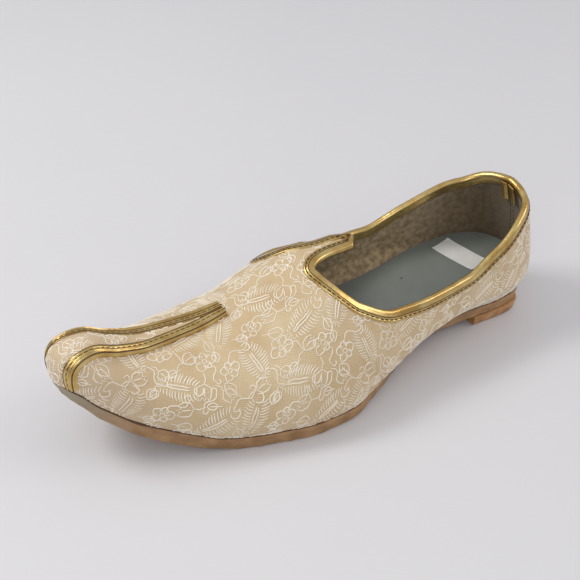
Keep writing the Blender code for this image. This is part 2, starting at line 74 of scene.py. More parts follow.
def bisect(is_below: Callable[[float], bool], low: float, high: float, steps: int = 30) -> float:
    """Place between low and high where a test stops being true."""
    for _ in range(steps):
        middle = (low + high) / 2
        if is_below(middle):
            low = middle
        else:
            high = middle
    return (low + high) / 2


def bump_at(value: float, centre: float, width: float) -> float:
    """Height of a soft bell of a given half width round a centre, 1 at its top."""
    return math.exp(-(((value - centre) / width) ** 2))


def smooth(places: tuple, values: tuple, place: float) -> float:
    """Value of a smooth curve through a table's points that never overshoots them."""
    if place <= places[0]:
        return values[0]
    if place >= places[-1]:
        return values[-1]
    last = len(places) - 1

    def slope(j: int) -> float:
        """Rise of one span."""
        return (values[j + 1] - values[j]) / (places[j + 1] - places[j])

    def tangent(j: int) -> float:
        """Rise at one place, flat where the values turn."""
        if j in (0, last):
            return slope(min(j, last - 1))
        before, after = slope(j - 1), slope(j)
        return 2 * before * after / (before + after) if before * after > 0 else 0.0

    i = max(j for j in range(last) if places[j] <= place)
    span = places[i + 1] - places[i]
    t = (place - places[i]) / span
    rise = values[i + 1] - values[i]
    start, end = tangent(i) * span, tangent(i + 1) * span
    return values[i] + t * start + t * t * (3 * rise - 2 * start - end) + t**3 * (start + end - 2 * rise)


# Sizes of the last, as the solids have them. Shares are of LENGTH along the shoe, of BALL_WIDTH for a
# reach from the middle line and of THROAT_HEIGHT for a height.
LENGTH = 0.290
BALL_WIDTH = 0.100
THROAT_HEIGHT = 0.080
WALL = 0.0022
CLEARANCE = 0.0003
SOLE_EDGE = 0.0014
SOLE_UNDERCUT = 0.0012
HEEL_SETBACK = 0.0002
TAB_END = 0.398 * LENGTH
TAB_ROOT = 0.445 * LENGTH
TAB_HALF_WIDTH = 0.0062
TAB_BLUNTNESS = 0.1
SCALLOP_START = 0.448 * LENGTH
SCALLOP_TIPS = {Side.LEFT: 0.506 * LENGTH, Side.RIGHT: 0.548 * LENGTH}
TAB_SHOULDERS = {Side.LEFT: 0.0034, Side.RIGHT: 0.0090}
SCALLOP_HALF_WIDTHS = {Side.LEFT: 0.0142, Side.RIGHT: 0.0260}
BAND_END = 0.667 * LENGTH
BAND_FOOT_HALF_WIDTH = 0.0138
BAND_END_HALF_WIDTH = 0.0052
TRIM_WIDTH = 0.0064
TRIM_FOOT_WIDTH = 0.0042

Section = namedtuple(
    "Section",
    "along turn foot_left foot_right wide_left wide_right wide_height top_height side_pull top_pull "
    "rim_left rim_right foot_pull",
)
SECTIONS = (
    Section(0.131, -90, 0.325, 0.325, 0.390, 0.390, 0.375, 1.460, 0.55, 0.55, 0.965, 0.965, 0.30),
    Section(0.131, -60, 0.342, 0.325, 0.400, 0.378, 0.375, 1.430, 0.55, 0.55, 0.930, 0.928, 0.30),
    Section(0.131, -30, 0.268, 0.255, 0.366, 0.336, 0.375, 1.400, 0.55, 0.55, 0.850, 0.858, 0.30),
    Section(0.131, 0, 0.235, 0.225, 0.350, 0.315, 0.375, 1.370, 0.55, 0.55, 0.732, 0.836, 0.30),
    Section(0.207, 0, 0.232, 0.230, 0.372, 0.345, 0.375, 1.250, 0.55, 0.55, 0.610, 0.730, 0.30),
    Section(0.293, 0, 0.262, 0.260, 0.420, 0.385, 0.350, 1.100, 0.50, 0.55, 0.598, 0.598, 0.30),
    Section(0.379, 0, 0.390, 0.310, 0.488, 0.420, 0.290, 0.950, 0.42, 0.50, 0.610, 0.606, 0.35),
    Section(0.448, 0, 0.495, 0.360, 0.545, 0.445, 0.245, 0.937, 0.40, 0.50, 0.716, 0.725, 0.50),
    Section(0.505, 0, 0.560, 0.395, 0.590, 0.455, 0.220, 0.935, 0.42, 0.52, 0.900, 0.900, 0.75),
    Section(0.569, 0, 0.565, 0.415, 0.595, 0.460, 0.215, 0.846, 0.44, 0.52, 0.900, 0.900, 0.75),
    Section(0.655, 0, 0.515, 0.420, 0.550, 0.455, 0.215, 0.698, 0.46, 0.52, 0.900, 0.900, 0.75),
    Section(0.741, 0, 0.435, 0.390, 0.475, 0.420, 0.245, 0.662, 0.48, 0.52, 0.900, 0.900, 0.75),
    Section(0.821, 0, 0.342, 0.310, 0.375, 0.335, 0.350, 0.672, 0.50, 0.54, 0.900, 0.900, 0.75),
    Section(0.883, 0, 0.262, 0.245, 0.280, 0.260, 0.460, 0.735, 0.52, 0.58, 0.900, 0.900, 0.75),
    Section(0.931, 0, 0.182, 0.192, 0.197, 0.205, 0.580, 0.815, 0.58, 0.66, 0.900, 0.900, 0.75),
    Section(0.931, 30, 0.160, 0.185, 0.170, 0.193, 0.622, 0.815, 0.62, 0.70, 0.900, 0.900, 0.75),
    Section(0.931, 60, 0.158, 0.180, 0.164, 0.185, 0.660, 0.815, 0.62, 0.72, 0.900, 0.900, 0.75),
    Section(0.931, 90, 0.160, 0.160, 0.164, 0.164, 0.680, 0.815, 0.62, 0.72, 0.900, 0.900, 0.75),
)
HEEL_SIDE = 3.0
TOE_SIDE = 14.0
TOE_TIP = 17.0

Bed = namedtuple("Bed", "along foot_height sole_thickness insole_height")
BEDS = (
    Bed(0.000, 0.173, 0.085, 0.385),
    Bed(0.155, 0.173, 0.085, 0.365),
    Bed(0.207, 0.170, 0.085, 0.330),
    Bed(0.276, 0.163, 0.085, 0.270),
    Bed(0.359, 0.150, 0.088, 0.215),
    Bed(0.431, 0.133, 0.095, 0.185),
    Bed(0.500, 0.112, 0.100, 0.163),
    Bed(0.565, 0.105, 0.105, 0.155),
    Bed(0.710, 0.105, 0.105, 0.155),
    Bed(0.750, 0.122, 0.101, 0.170),
    Bed(0.795, 0.178, 0.118, 0.225),
    Bed(0.852, 0.262, 0.120, 0.310),
    Bed(0.897, 0.342, 0.112, 0.385),
    Bed(0.938, 0.450, 0.108, 0.480),
    Bed(0.965, 0.550, 0.100, 0.550),
    Bed(1.000, 0.615, 0.082, 0.595),
)


def section_stations() -> tuple[float, ...]:
    """Distance travelled round the last at each row of the section table."""
    stations = [0.0]
    for a, b in zip(SECTIONS, SECTIONS[1:]):
        arc = math.radians(b.turn - a.turn) * (a.wide_left + b.wide_left) / 2 * BALL_WIDTH
        stations.append(stations[-1] + (b.along - a.along) * LENGTH + arc)
    return tuple(stations)


STATIONS = section_stations()


def station(place: float) -> float:
    """Distance travelled round the last at a place counted in rows."""
    i = min(int(place), len(SECTIONS) - 2)
    return STATIONS[i] + (STATIONS[i + 1] - STATIONS[i]) * (place - i)


@lru_cache(maxsize=None)
def column(name: str, place: float) -> float:
    """A column of the section table at a place counted in rows."""
    i = min(int(place), len(SECTIONS) - 2)
    values = tuple(getattr(row, name) for row in SECTIONS)
    if name in ("along", "turn"):
        return values[i] + (values[i + 1] - values[i]) * (place - i)
    return smooth(STATIONS, values, station(place))


@lru_cache(maxsize=None)
def bed(name: str, x: float) -> float:
    """A column of the bed table, in metres, at a distance from the back of the heel."""
    places = tuple(row.along for row in BEDS)
    return smooth(places, tuple(getattr(row, name) for row in BEDS), x / LENGTH) * THROAT_HEIGHT


@lru_cache(maxsize=None)
def handles(side: Side, place: float) -> tuple:
    """The two cubic curves of a half section, each as four points of reach and height."""
    hand = "left" if side is Side.LEFT else "right"
    foot = column("foot_" + hand, place) * BALL_WIDTH
    wide = column("wide_" + hand, place) * BALL_WIDTH
    lean = math.sin(math.radians(column("turn", place)))
    low = bed("foot_height", column("along", place) * LENGTH + foot * lean)
    mid = column("wide_height", place) * THROAT_HEIGHT
    top = column("top_height", place) * THROAT_HEIGHT
    rise = mid - low
    pull = column("foot_pull", place)
    ankle = (foot + (wide - foot) * pull, low + rise * 0.22)
    lower = ((foot, low), ankle, (wide, mid - rise * pull * 0.6), (wide, mid))
    shoulder = (wide, mid + (top - mid) * column("side_pull", place))
    crown = (wide * column("top_pull", place), top)
    return lower, ((wide, mid), shoulder, crown, (0.0, top))


def profile(side: Side, place: float, v: float) -> tuple[float, float]:
    """Reach and height on a half section: v is 0 at the foot, 1 at the widest point and 2 at the top."""
    points = handles(side, place)[0 if v <= 1 else 1]
    t = v if v <= 1 else v - 1
    weights = ((1 - t) ** 3, 3 * t * (1 - t) ** 2, 3 * t * t * (1 - t), t**3)
    return tuple(sum(w * p[axis] for w, p in zip(weights, points)) for axis in range(2))


def place_point(side: Side, place: float, reach: float, height: float) -> Vector:
    """Point at a reach and a height on a half section."""
    turn = math.radians(column("turn", place))
    x = column("along", place) * LENGTH + reach * math.sin(turn)
    return Vector((x, side.value * reach * math.cos(turn), height))


def bare_surface(side: Side, place: float, v: float) -> Vector:
    """Point on the last, before its creases."""
    return place_point(side, place, *profile(side, place, v))


def outside(side: Side, place: float, v: float) -> tuple[Vector, Vector]:
    """Point and outward direction on the last."""
    step = 0.02
    along = bare_surface(side, min(place + step, TOE_TIP), v) - bare_surface(side, max(place - step, 0.0), v)
    across = bare_surface(side, place, v + step) - bare_surface(side, place, max(v - step, 0.0))
    return bare_surface(side, place, v), along.cross(across).normalized() * -side.value


@lru_cache(maxsize=None)
def girth(side: Side, place: float) -> tuple[float, ...]:
    """Distance along a half section from its top down, at 64 even steps of v from 2 to 0."""
    total, lengths = 0.0, [0.0]
    last = profile(side, place, 2.0)
    for v in spread(2.0, 0.0, 64)[1:]:
        here = profile(side, place, v)
        total += math.dist(here, last)
        lengths.append(total)
        last = here
    return tuple(lengths)


def chart(side: Side, place: float, v: float) -> tuple[float, float]:
    """Flat coordinates of the cloth: distance travelled, and distance down from the ridge on each side."""
    lengths = girth(side, place)
    step = (2.0 - min(v, 2.0)) * 32
    i = min(int(step), 63)
    down = lengths[i] + (lengths[i + 1] - lengths[i]) * (step - i)
    return station(place), side.value * down


# Main creases of the upper. Each runs as a soft trough or ridge: along and down place its middle on the
# cloth, turn is its direction in degrees, and depth is negative for a trough, all in millimetres.
Crease = namedtuple("Crease", "along down turn length width depth")
CREASES = (
    Crease(264, 27, 8, 34, 4.5, -0.55),
    Crease(246, 44, -18, 26, 6.0, 0.40),
    Crease(292, 18, 24, 12, 3.5, -0.40),
    Crease(222, 58, -30, 22, 6.0, -0.35),
    Crease(200, 30, 62, 26, 9.0, -0.45),
    Crease(176, 52, 70, 24, 7.0, 0.35),
    Crease(120, 72, 82, 16, 6.0, -0.45),
    Crease(96, 78, 76, 14, 5.0, 0.35),
    Crease(38, 84, 80, 16, 6.0, -0.35),
    Crease(260, -30, -10, 30, 5.0, -0.50),
    Crease(206, -34, -62, 24, 8.0, -0.40),
    Crease(150, -58, -72, 20, 6.0, 0.35),
    Crease(104, -74, -80, 15, 6.0, -0.40),
)


def crease_height(along: float, down: float) -> float:
    """How far the creases lift the cloth at a place on its chart, in metres."""
    total = 0.0
    for crease in CREASES:
        turn = math.radians(crease.turn)
        x, y = along / MM - crease.along, down / MM - crease.down
        run = x * math.cos(turn) + y * math.sin(turn)
        off = y * math.cos(turn) - x * math.sin(turn)
        total += crease.depth * bump_at(run, 0, crease.length) * bump_at(off, 0, crease.width)
    ripple = noise.noise(Vector((along * 45, down * 45, 3.0))) * 0.22
    return (total + ripple) * MM


def creased(side: Side, place: float, v: float) -> tuple[Vector, Vector]:
    """Point and outward direction on the upper, with its creases."""
    point, normal = outside(side, place, v)
    fade = min(1.0, v * 2.5)
    if place > TOE_SIDE:
        fade *= max(0.0, 1 - (place - TOE_SIDE) / 3)
    return point + normal * crease_height(*chart(side, place, v)) * fade, normal


def v_at_reach(side: Side, place: float, reach: float) -> float:
    """Place v above the widest point where a section has a reach."""
    return bisect(lambda v: profile(side, place, v)[0] > reach, 1.0, 2.0)


def v_at_height(side: Side, place: float, height: float) -> float:
    """Place v above the widest point where a section has a height."""
    return bisect(lambda v: profile(side, place, v)[1] < height, 1.0, 2.0)


def row_at(x: float) -> float:
    """Place in rows of the section that stands square across the shoe at x."""
    return bisect(lambda place: column("along", place) * LENGTH < x, HEEL_SIDE, TOE_SIDE, 40)


def foot_reach(side: Side, place: float) -> float:
    """Reach of the foot line of the upper."""
    return profile(side, place, 0.0)[0]


def rim_height(side: Side, place: float) -> float:
    """Height of the throat's edge on the side of the foot."""
    return column("rim_left" if side is Side.LEFT else "rim_right", place) * THROAT_HEIGHT


def rim_v(side: Side, place: float) -> float:
    """Place v of the throat's edge on the side of the foot."""
    tip = SCALLOP_TIPS[side]
    x = column("along", place) * LENGTH
    if x <= SCALLOP_START:
        return v_at_height(side, place, rim_height(side, place))
    start = row_at(SCALLOP_START)
    start_reach = profile(side, start, v_at_height(side, start, rim_height(side, start)))[0]
    t = min(1.0, (x - SCALLOP_START) / (tip - SCALLOP_START))
    tip_reach = SCALLOP_HALF_WIDTHS[side]
    reach = tip_reach + (start_reach - tip_reach) * (1 - t**1.3) ** 0.7
    return v_at_reach(side, place, reach)


def tab_half_width(side: Side, x: float) -> float:
    """Half width of the tab, which widens from its point to its shoulders and on to the scallops' tips."""
    point = min(1.0, TAB_BLUNTNESS + (1 - TAB_BLUNTNESS) * (x - TAB_END) / TAB_SHOULDERS[side])
    t = min(1.0, max(0.0, (x - TAB_ROOT) / (SCALLOP_TIPS[side] - TAB_ROOT)))
    flare = 1 - math.sqrt(1 - t * t)
    return TAB_HALF_WIDTH * point + (SCALLOP_HALF_WIDTHS[side] - TAB_HALF_WIDTH) * flare


HEEL_BACK = 0.131 * LENGTH - foot_reach(Side.LEFT, 0.0) - SOLE_EDGE + HEEL_SETBACK
heel_low, heel_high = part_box("heel_block")
SHIFT = Vector((heel_low[0] - HEEL_BACK, (heel_low[1] + heel_high[1]) / 2, 0.0))

SCALLOP_SHARES = tuple(math.sin(math.pi / 2 * i / 22) for i in range(1, 23))


def side_places(side: Side) -> list[float]:
    """Places of the sections from the back of the heel to the tip of the scallop."""
    pivot = column("along", HEEL_SIDE) * LENGTH
    quarter = [row_at(x) for x in spread(pivot, SCALLOP_START, 44)[1:]]
    run = SCALLOP_TIPS[side] - SCALLOP_START
    return spread(0.0, HEEL_SIDE, 27) + quarter + [row_at(SCALLOP_START + run * s) for s in SCALLOP_SHARES]


def ridge_stations() -> list[float]:
    """Distances from the heel of the sections that meet on the ridge, from the tab's end to the toe."""
    stations = {TAB_END, TAB_ROOT}
    for shoulder in TAB_SHOULDERS.values():
        stations.update(spread(TAB_END, TAB_END + shoulder, 5))
    for tip in SCALLOP_TIPS.values():
        stations.update(TAB_ROOT + (tip - TAB_ROOT) * share for share in SCALLOP_SHARES)
    stations.update(spread(max(SCALLOP_TIPS.values()), column("along", TOE_SIDE) * LENGTH, 58))
    return sorted(stations)


def front_places(side: Side) -> list[float]:
    """Places of the sections from the tip of the scallop to the tip of the toe."""
    vamp = [row_at(x) for x in ridge_stations() if x >= SCALLOP_TIPS[side]]
    vamp[-1] = TOE_SIDE
    return vamp + spread(TOE_SIDE, TOE_TIP, 24)[1:]


def base_places() -> list[float]:
    """Even places of the sections for the pieces under the foot."""
    pivot = column("along", HEEL_SIDE) * LENGTH
    front = column("along", TOE_SIDE) * LENGTH
    return spread(0.0, HEEL_SIDE, 27) + [row_at(x) for x in spread(pivot, front, 120)[1:-1]] + spread(
        TOE_SIDE, TOE_TIP, 24
    )


def hex_colour(code: str) -> tuple[float, float, float, float]:
    """Linear colour of an sRGB hex value."""
    parts = [int(code[i : i + 2], 16) / 255 for i in (0, 2, 4)]
    return (*((p / 12.92 if p <= 0.04045 else ((p + 0.055) / 1.055) ** 2.4) for p in parts), 1.0)


def add_node(tree: bpy.types.NodeTree, kind: str, inputs: dict | None = None, **settings) -> bpy.types.Node:
    """Adds a node with its settings, and sets or links its inputs.

    Args:
        tree: the tree that takes the node.
        kind: Blender's name of the node type.
        inputs: values or output sockets by input name or index.
        settings: attributes of the node.

    Returns:
        The new node.
    """
    node = tree.nodes.new(kind)
    for name, value in settings.items():
        setattr(node, name, value)
    for key, value in (inputs or {}).items():
        if isinstance(value, bpy.types.NodeSocket):
            tree.links.new(value, node.inputs[key])
        else:
            node.inputs[key].default_value = value
    return node


class Weave(Enum):
    """How the threads of a cloth cross, as the angles of its two wave patterns."""

    NONE = ()
    SATIN = (0.35, -1.1)
    PLAIN = (0.0, math.pi / 2)


@dataclass(frozen=True)
class Finish:
    """A surface finish, with its pattern sizes in real millimetres.

    The base colour is mottled towards the tone by a noise of mottle size, with patches that blend over the
    softness. The grain is a raised noise of its own size and depth. A cloth adds a weave of its thread pitch.
    The tip colour takes over between two distances along the shoe.
    """

    name: str
    base: str
    tone: str
    mottle: float = 12.0
    softness: float = 0.25
    grain: float = 0.6
    depth: float = 0.05
    roughness: float = 0.5
    spread: float = 0.1
    metallic: float = 0.0
    sheen: float = 0.0
    coat: float = 0.0
    weave: Weave = Weave.NONE
    pitch: float = 0.5
    weave_depth: float = 0.04
    tip: tuple = ()

    def material(self) -> bpy.types.Material:
        """Builds the node material, or returns the one already built."""
        if self.name in bpy.data.materials:
            return bpy.data.materials[self.name]
        material = bpy.data.materials.new(self.name)
        material.use_nodes = True
        tree = material.node_tree
        shader = tree.nodes["Principled BSDF"]
        where = add_node(tree, "ShaderNodeTexCoord").outputs["Object"]
        mottle = self.noise(tree, where, self.mottle, 4.0)
        ramp = {"Value": mottle, "From Min": 0.5 - self.softness, "From Max": 0.5 + self.softness}
        share = add_node(tree, "ShaderNodeMapRange", ramp).outputs["Result"]
        colours = {"Factor": share, 6: hex_colour(self.base), 7: hex_colour(self.tone)}
        colour = add_node(tree, "ShaderNodeMix", colours, data_type="RGBA").outputs[2]
        if self.tip:
            code, start, end = self.tip
            x = add_node(tree, "ShaderNodeSeparateXYZ", {"Vector": where}).outputs["X"]
            ramp = {"Value": x, "From Min": start, "From Max": end}
            reach = add_node(tree, "ShaderNodeMapRange", ramp).outputs["Result"]
            colours = {"Factor": reach, 6: colour, 7: hex_colour(code)}
            colour = add_node(tree, "ShaderNodeMix", colours, data_type="RGBA").outputs[2]
        tree.links.new(colour, shader.inputs["Base Color"])
        grain = self.noise(tree, where, self.grain, 3.0)
        low, high = self.roughness - self.spread, self.roughness + self.spread
        dullness = add_node(tree, "ShaderNodeMapRange", {"Value": grain, "To Min": low, "To Max": high})
        tree.links.new(dullness.outputs["Result"], shader.inputs["Roughness"])
        raised = {"Height": grain, "Distance": self.depth * MM, "Strength": 1.0}
        bump = add_node(tree, "ShaderNodeBump", raised)
        if self.weave is not Weave.NONE:
            uv = add_node(tree, "ShaderNodeUVMap", uv_map="cloth").outputs["UV"]
            for angle in self.weave.value:
                turned = add_node(tree, "ShaderNodeVectorRotate", {"Vector": uv, "Angle": angle}).outputs[0]
                bands = {"Vector": turned, "Scale": 0.314 / (self.pitch * MM), "Distortion": 0.6}
                wave = add_node(tree, "ShaderNodeTexWave", bands).outputs["Fac"]
                lift = {"Height": wave, "Distance": self.weave_depth * MM, "Normal": bump.outputs["Normal"]}
                bump = add_node(tree, "ShaderNodeBump", lift)
        tree.links.new(bump.outputs["Normal"], shader.inputs["Normal"])
        shader.inputs["Metallic"].default_value = self.metallic
        shader.inputs["Sheen Weight"].default_value = self.sheen
        shader.inputs["Coat Weight"].default_value = self.coat
        shader.inputs["Coat Roughness"].default_value = 0.12
        return material

    @staticmethod
    def noise(
        tree: bpy.types.NodeTree, where: bpy.types.NodeSocket, size: float, detail: float
    ) -> bpy.types.NodeSocket:
        """Noise of a feature size in millimetres."""
        values = {"Vector": where, "Scale": 1 / (size * MM), "Detail": detail}
        return add_node(tree, "ShaderNodeTexNoise", values).outputs["Fac"]


# Satin-weave brocade: a silky gold-beige ground of fine slanting floats; its tip colour is a painted darker,
# pinker cast of reflected light over the nose
BROCADE_GROUND = Finish(
    "woven_satin_brocade_ground", "D5BF99", "C5A97E", 24, 0.18, 0.5, 0.03, 0.46, 0.10, sheen=0.2,
    weave=Weave.SATIN, pitch=1.0, weave_depth=0.10, tip=("CDB593", 0.085, 0.125),
)
# Rayon figure thread: pearly cream floats that stand up from the ground
FIGURE_THREAD = Finish(
    "raised_rayon_figure_thread", "F1E9D9", "E6DAC6", 18, 0.12, 0.25, 0.03, 0.40, 0.08, sheen=0.2, coat=0.1
)
# Foil-transferred leather: a smooth gold film over a faint grain
GOLD_FOIL = Finish(
    "foil_pressed_gold_leather", "D6BC7C", "BB9653", 9, 0.15, 2.6, 0.14, 0.29, 0.06, metallic=0.92, coat=0.25
)
# Crushed velvet: short pile pressed in patches that catch or lose the light
VELVET = Finish(
    "crushed_velvet_lining", "84704F", "B9A27E", 3.0, 0.14, 0.5, 0.35, 0.70, 0.15, sheen=0.35,
    tip=("4F3F28", -0.070, -0.150),
)
# Synthetic leather footbed, matt with a fine pebble
FOOTBED = Finish(
    "pressed_grey_green_footbed", "757A74", "696F69", 30, 0.2, 0.7, 0.03, 0.62, 0.07, sheen=0.1
)
# Moulded rubber sole, tan and dull, its buffed edge rough, greyer where the toe turns up
SOLE_RUBBER = Finish(
    "moulded_tan_rubber_sole", "AD875D", "947049", 9, 0.12, 0.9, 0.22, 0.52, 0.12,
    tip=("9A8F78", 0.112, 0.140),
)
HEEL_RUBBER = Finish("cut_rubber_heel", "C29364", "A27446", 7, 0.12, 1.0, 0.26, 0.56, 0.10)
# Dark brown of the dried cement in the joint between upper and sole and of a speck on the footbed, also used
# for the dark cords along the binding and the toe trims, mostly painted shade in their crease and grooves
CEMENT_AND_SHADE_BROWN = Finish("dried_cement_and_painted_shade_brown", "5A3B20", "3D2614", 6, 0.2, 0.8, 0.08, 0.45, 0.1)
STITCH_THREAD = Finish("waxed_brown_sewing_thread", "3E240F", "2A1709", 3, 0.2, 0.3, 0.03, 0.55, 0.1)
LABEL_CLOTH = Finish(
    "woven_satin_label", "E6E5E2", "DADAD7", 8, 0.2, 0.3, 0.02, 0.55, 0.05, weave=Weave.PLAIN, pitch=0.4
)
FLOOR_PAPER = Finish("pale_paper_floor", "D6D5D8", "D3D2D6", 300, 0.25, 1.0, 0.0, 0.75, 0.02)


@dataclass
class MeshDraft:
    """Points, faces and flat coordinates of a mesh that is being built."""

    points: list = field(default_factory=list)
    faces: list = field(default_factory=list)
    chart: list = field(default_factory=list)
    slots: list = field(default_factory=list)

    def place(self, rows: list, flat: list | None) -> None:
        """Adds points with their flat coordinates, or else with their own along and across."""
        added = [point for row in rows for point in row]
        self.points += added
        self.chart += [spot for row in flat for spot in row] if flat else [(p.x, p.y) for p in added]

    def grid(self, rows: list, flat: list | None = None, flip: bool = False, slot: int = 0) -> None:
        """Adds quads through a grid of points.

        Args:
            rows: lists of points, all of one length.
            flat: the flat coordinates of the same points.
            flip: turns the faces over.
            slot: material slot of the faces.
        """
        start, count = len(self.points), len(rows[0])
        for i in range(len(rows) - 1):
            for j in range(count - 1):
                a = start + i * count + j
                quad = (a, a + count, a + count + 1, a + 1)
                self.faces.append(quad[::-1] if flip else quad)
                self.slots.append(slot)
        self.place(rows, flat)

    def loft(self, rings: list, closed: bool = False, flat: list | None = None) -> None:
        """Adds a tube through rings of points, joined end to end where closed, or else capped."""
        start, count = len(self.points), len(rings[0])
        for i in range(len(rings) if closed else len(rings) - 1):
            a, b = start + i * count, start + ((i + 1) % len(rings)) * count
            for j in range(count):
                k = (j + 1) % count
                self.faces.append((a + j, b + j, b + k, a + k))
                self.slots.append(0)
        if not closed:
            last = start + (len(rings) - 1) * count
            self.faces += [tuple(range(start, start + count))[::-1], tuple(range(last, last + count))]
            self.slots += [0, 0]
        self.place(rings, flat)

    def build(self, name: str, *finishes: Finish, closed: bool = True, angle: float = 40) -> bpy.types.Object:
        """Makes the object in the frame's place, its doubles welded and its faces smooth.

        Args:
            name: the object's name.
            finishes: one finish for each material slot.
            closed: turns the faces of a closed shape outwards.
            angle: edges sharper than this stay sharp, in degrees.

        Returns:
            The new object.
        """
        work = bmesh.new()
        flat = work.loops.layers.uv.new("cloth")
        corners = [work.verts.new(point + SHIFT) for point in self.points]
        for face, slot in zip(self.faces, self.slots):
            made = work.faces.new([corners[k] for k in face])
            made.material_index = slot
            for loop, k in zip(made.loops, face):
                loop[flat].uv = self.chart[k]
        bmesh.ops.remove_doubles(work, verts=work.verts, dist=0.000004)
        bmesh.ops.dissolve_degenerate(work, edges=work.edges, dist=0.000001)
        if closed:
            bmesh.ops.recalc_face_normals(work, faces=work.faces)
        mesh = bpy.data.meshes.new(name)
        work.to_mesh(mesh)
        work.free()
        mesh.shade_smooth()
        mesh.set_sharp_from_angle(angle=math.radians(angle))
        obj = bpy.data.objects.new(name, mesh)
        for finish in finishes:
            mesh.materials.append(finish.material())
        bpy.context.scene.collection.objects.link(obj)
        return obj


def freeze(obj: bpy.types.Object) -> bpy.types.Object:
    """Replaces an object by a plain mesh of what its modifiers make."""
    graph = bpy.context.evaluated_depsgraph_get()
    mesh = bpy.data.meshes.new_from_object(obj.evaluated_get(graph))
    name = obj.name
    bpy.data.objects.remove(obj)
    mesh.name = name
    result = bpy.data.objects.new(name, mesh)
    bpy.context.scene.collection.objects.link(result)
    return result


def settle(piece: bpy.types.Object, slot: str, *nodes: str) -> None:
    """Gives a finished piece its body and hides the nodes that it stands for."""
    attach(piece, "root")
    if nodes:
        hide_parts(*nodes)
    log.info("%s: %d faces", piece.name, len(piece.data.polygons))


class PathNodes:
    """Geometry Nodes trees that turn drawn paths into cords or rows of stitches."""

    @staticmethod
    def start(name: str, sizes: tuple[str, ...]) -> tuple:
        """Begins a tree with a geometry input, named sizes and a material."""
        tree = bpy.data.node_groups.new(name, "GeometryNodeTree")
        tree.interface.new_socket("Paths", in_out="INPUT", socket_type="NodeSocketGeometry")
        for size in sizes:
            tree.interface.new_socket(size, in_out="INPUT", socket_type="NodeSocketFloat")
        tree.interface.new_socket("Material", in_out="INPUT", socket_type="NodeSocketMaterial")
        tree.interface.new_socket("Result", in_out="OUTPUT", socket_type="NodeSocketGeometry")
        source = add_node(tree, "NodeGroupInput").outputs
        curve = add_node(tree, "GeometryNodeMeshToCurve", {"Mesh": source["Paths"]}).outputs["Curve"]
        return tree, source, curve

    @staticmethod
    def end(tree: bpy.types.NodeTree, result: bpy.types.NodeSocket, material: bpy.types.NodeSocket) -> None:
        """Closes a tree: instances realized, faces smooth, material set."""
        real = add_node(tree, "GeometryNodeRealizeInstances", {"Geometry": result}).outputs[0]
        soft = add_node(tree, "GeometryNodeSetShadeSmooth", {"Geometry": real}).outputs[0]
        done = add_node(tree, "GeometryNodeSetMaterial", {"Geometry": soft, "Material": material}).outputs[0]
        add_node(tree, "NodeGroupOutput", {"Result": done})

    @classmethod
    def cord_tree(cls) -> bpy.types.NodeTree:
        """Sweeps a small round section along each path, as thick as the path's own radius."""
        tree, source, curve = cls.start("swept_thread", ("Sides",))
        radius = add_node(tree, "GeometryNodeInputNamedAttribute", {"Name": "radius"}, data_type="FLOAT")
        curve = add_node(
            tree, "GeometryNodeSetCurveRadius", {"Curve": curve, "Radius": radius.outputs[0]}
        ).outputs[0]
        sides = add_node(tree, "FunctionNodeFloatToInt", {0: source["Sides"]}).outputs[0]
        ring = add_node(tree, "GeometryNodeCurvePrimitiveCircle", {"Resolution": sides, "Radius": 1.0})
        sweep = add_node(
            tree,
            "GeometryNodeCurveToMesh",
            {"Curve": curve, "Profile Curve": ring.outputs["Curve"], "Fill Caps": True},
        )
        if "Scale" in sweep.inputs:
            tree.links.new(radius.outputs[0], sweep.inputs["Scale"])
        cls.end(tree, sweep.outputs[0], source["Material"])
        return tree

    @classmethod
    def stitch_tree(cls) -> bpy.types.NodeTree:
        """Lays a short rounded stitch at each pitch along the paths."""
        tree, source, curve = cls.start("stitch_row", ("Pitch", "Stitch", "Thickness"))
        points = add_node(
            tree, "GeometryNodeCurveToPoints", {"Curve": curve, "Length": source["Pitch"]}, mode="LENGTH"
        )
        ball = add_node(tree, "GeometryNodeMeshUVSphere", {"Segments": 8, "Rings": 6, "Radius": 0.5})
        size = add_node(
            tree,
            "ShaderNodeCombineXYZ",
            {"X": source["Thickness"], "Y": source["Thickness"], "Z": source["Stitch"]},
        )
        laid = add_node(
            tree,
            "GeometryNodeInstanceOnPoints",
            {
                "Points": points.outputs["Points"],
                "Instance": ball.outputs["Mesh"],
                "Rotation": points.outputs["Rotation"],
                "Scale": size.outputs[0],
            },
        )
        cls.end(tree, laid.outputs[0], source["Material"])
        return tree

    @staticmethod
    def run(
        name: str, tree: bpy.types.NodeTree, strokes: list, finish: Finish, **sizes: float
    ) -> bpy.types.Object:
        """Evaluates a tree on drawn strokes.

        Args:
            name: the new object's name.
            tree: the tree to run.
            strokes: lists of points, each with a radius, in metres.
            finish: the finish of the result.
            sizes: values of the tree's named inputs.

        Returns:
            The plain mesh object.
        """
        points, edges, radii = [], [], []
        for stroke in strokes:
            edges += [(len(points) + i, len(points) + i + 1) for i in range(len(stroke) - 1)]
            points += [point + SHIFT for point, _ in stroke]
            radii += [radius for _, radius in stroke]
        mesh = bpy.data.meshes.new(name)
        mesh.from_pydata(points, edges, [])
        mesh.attributes.new("radius", "FLOAT", "POINT").data.foreach_set("value", radii)
        obj = bpy.data.objects.new(name, mesh)
        bpy.context.scene.collection.objects.link(obj)
        modifier = obj.modifiers.new("Paths", "NODES")
        modifier.node_group = tree
        values = {**sizes, "Material": finish.material()}
        for item in tree.interface.items_tree:
            if item.in_out == "INPUT" and item.name in values:
                modifier[item.identifier] = values[item.name]
        return freeze(obj)


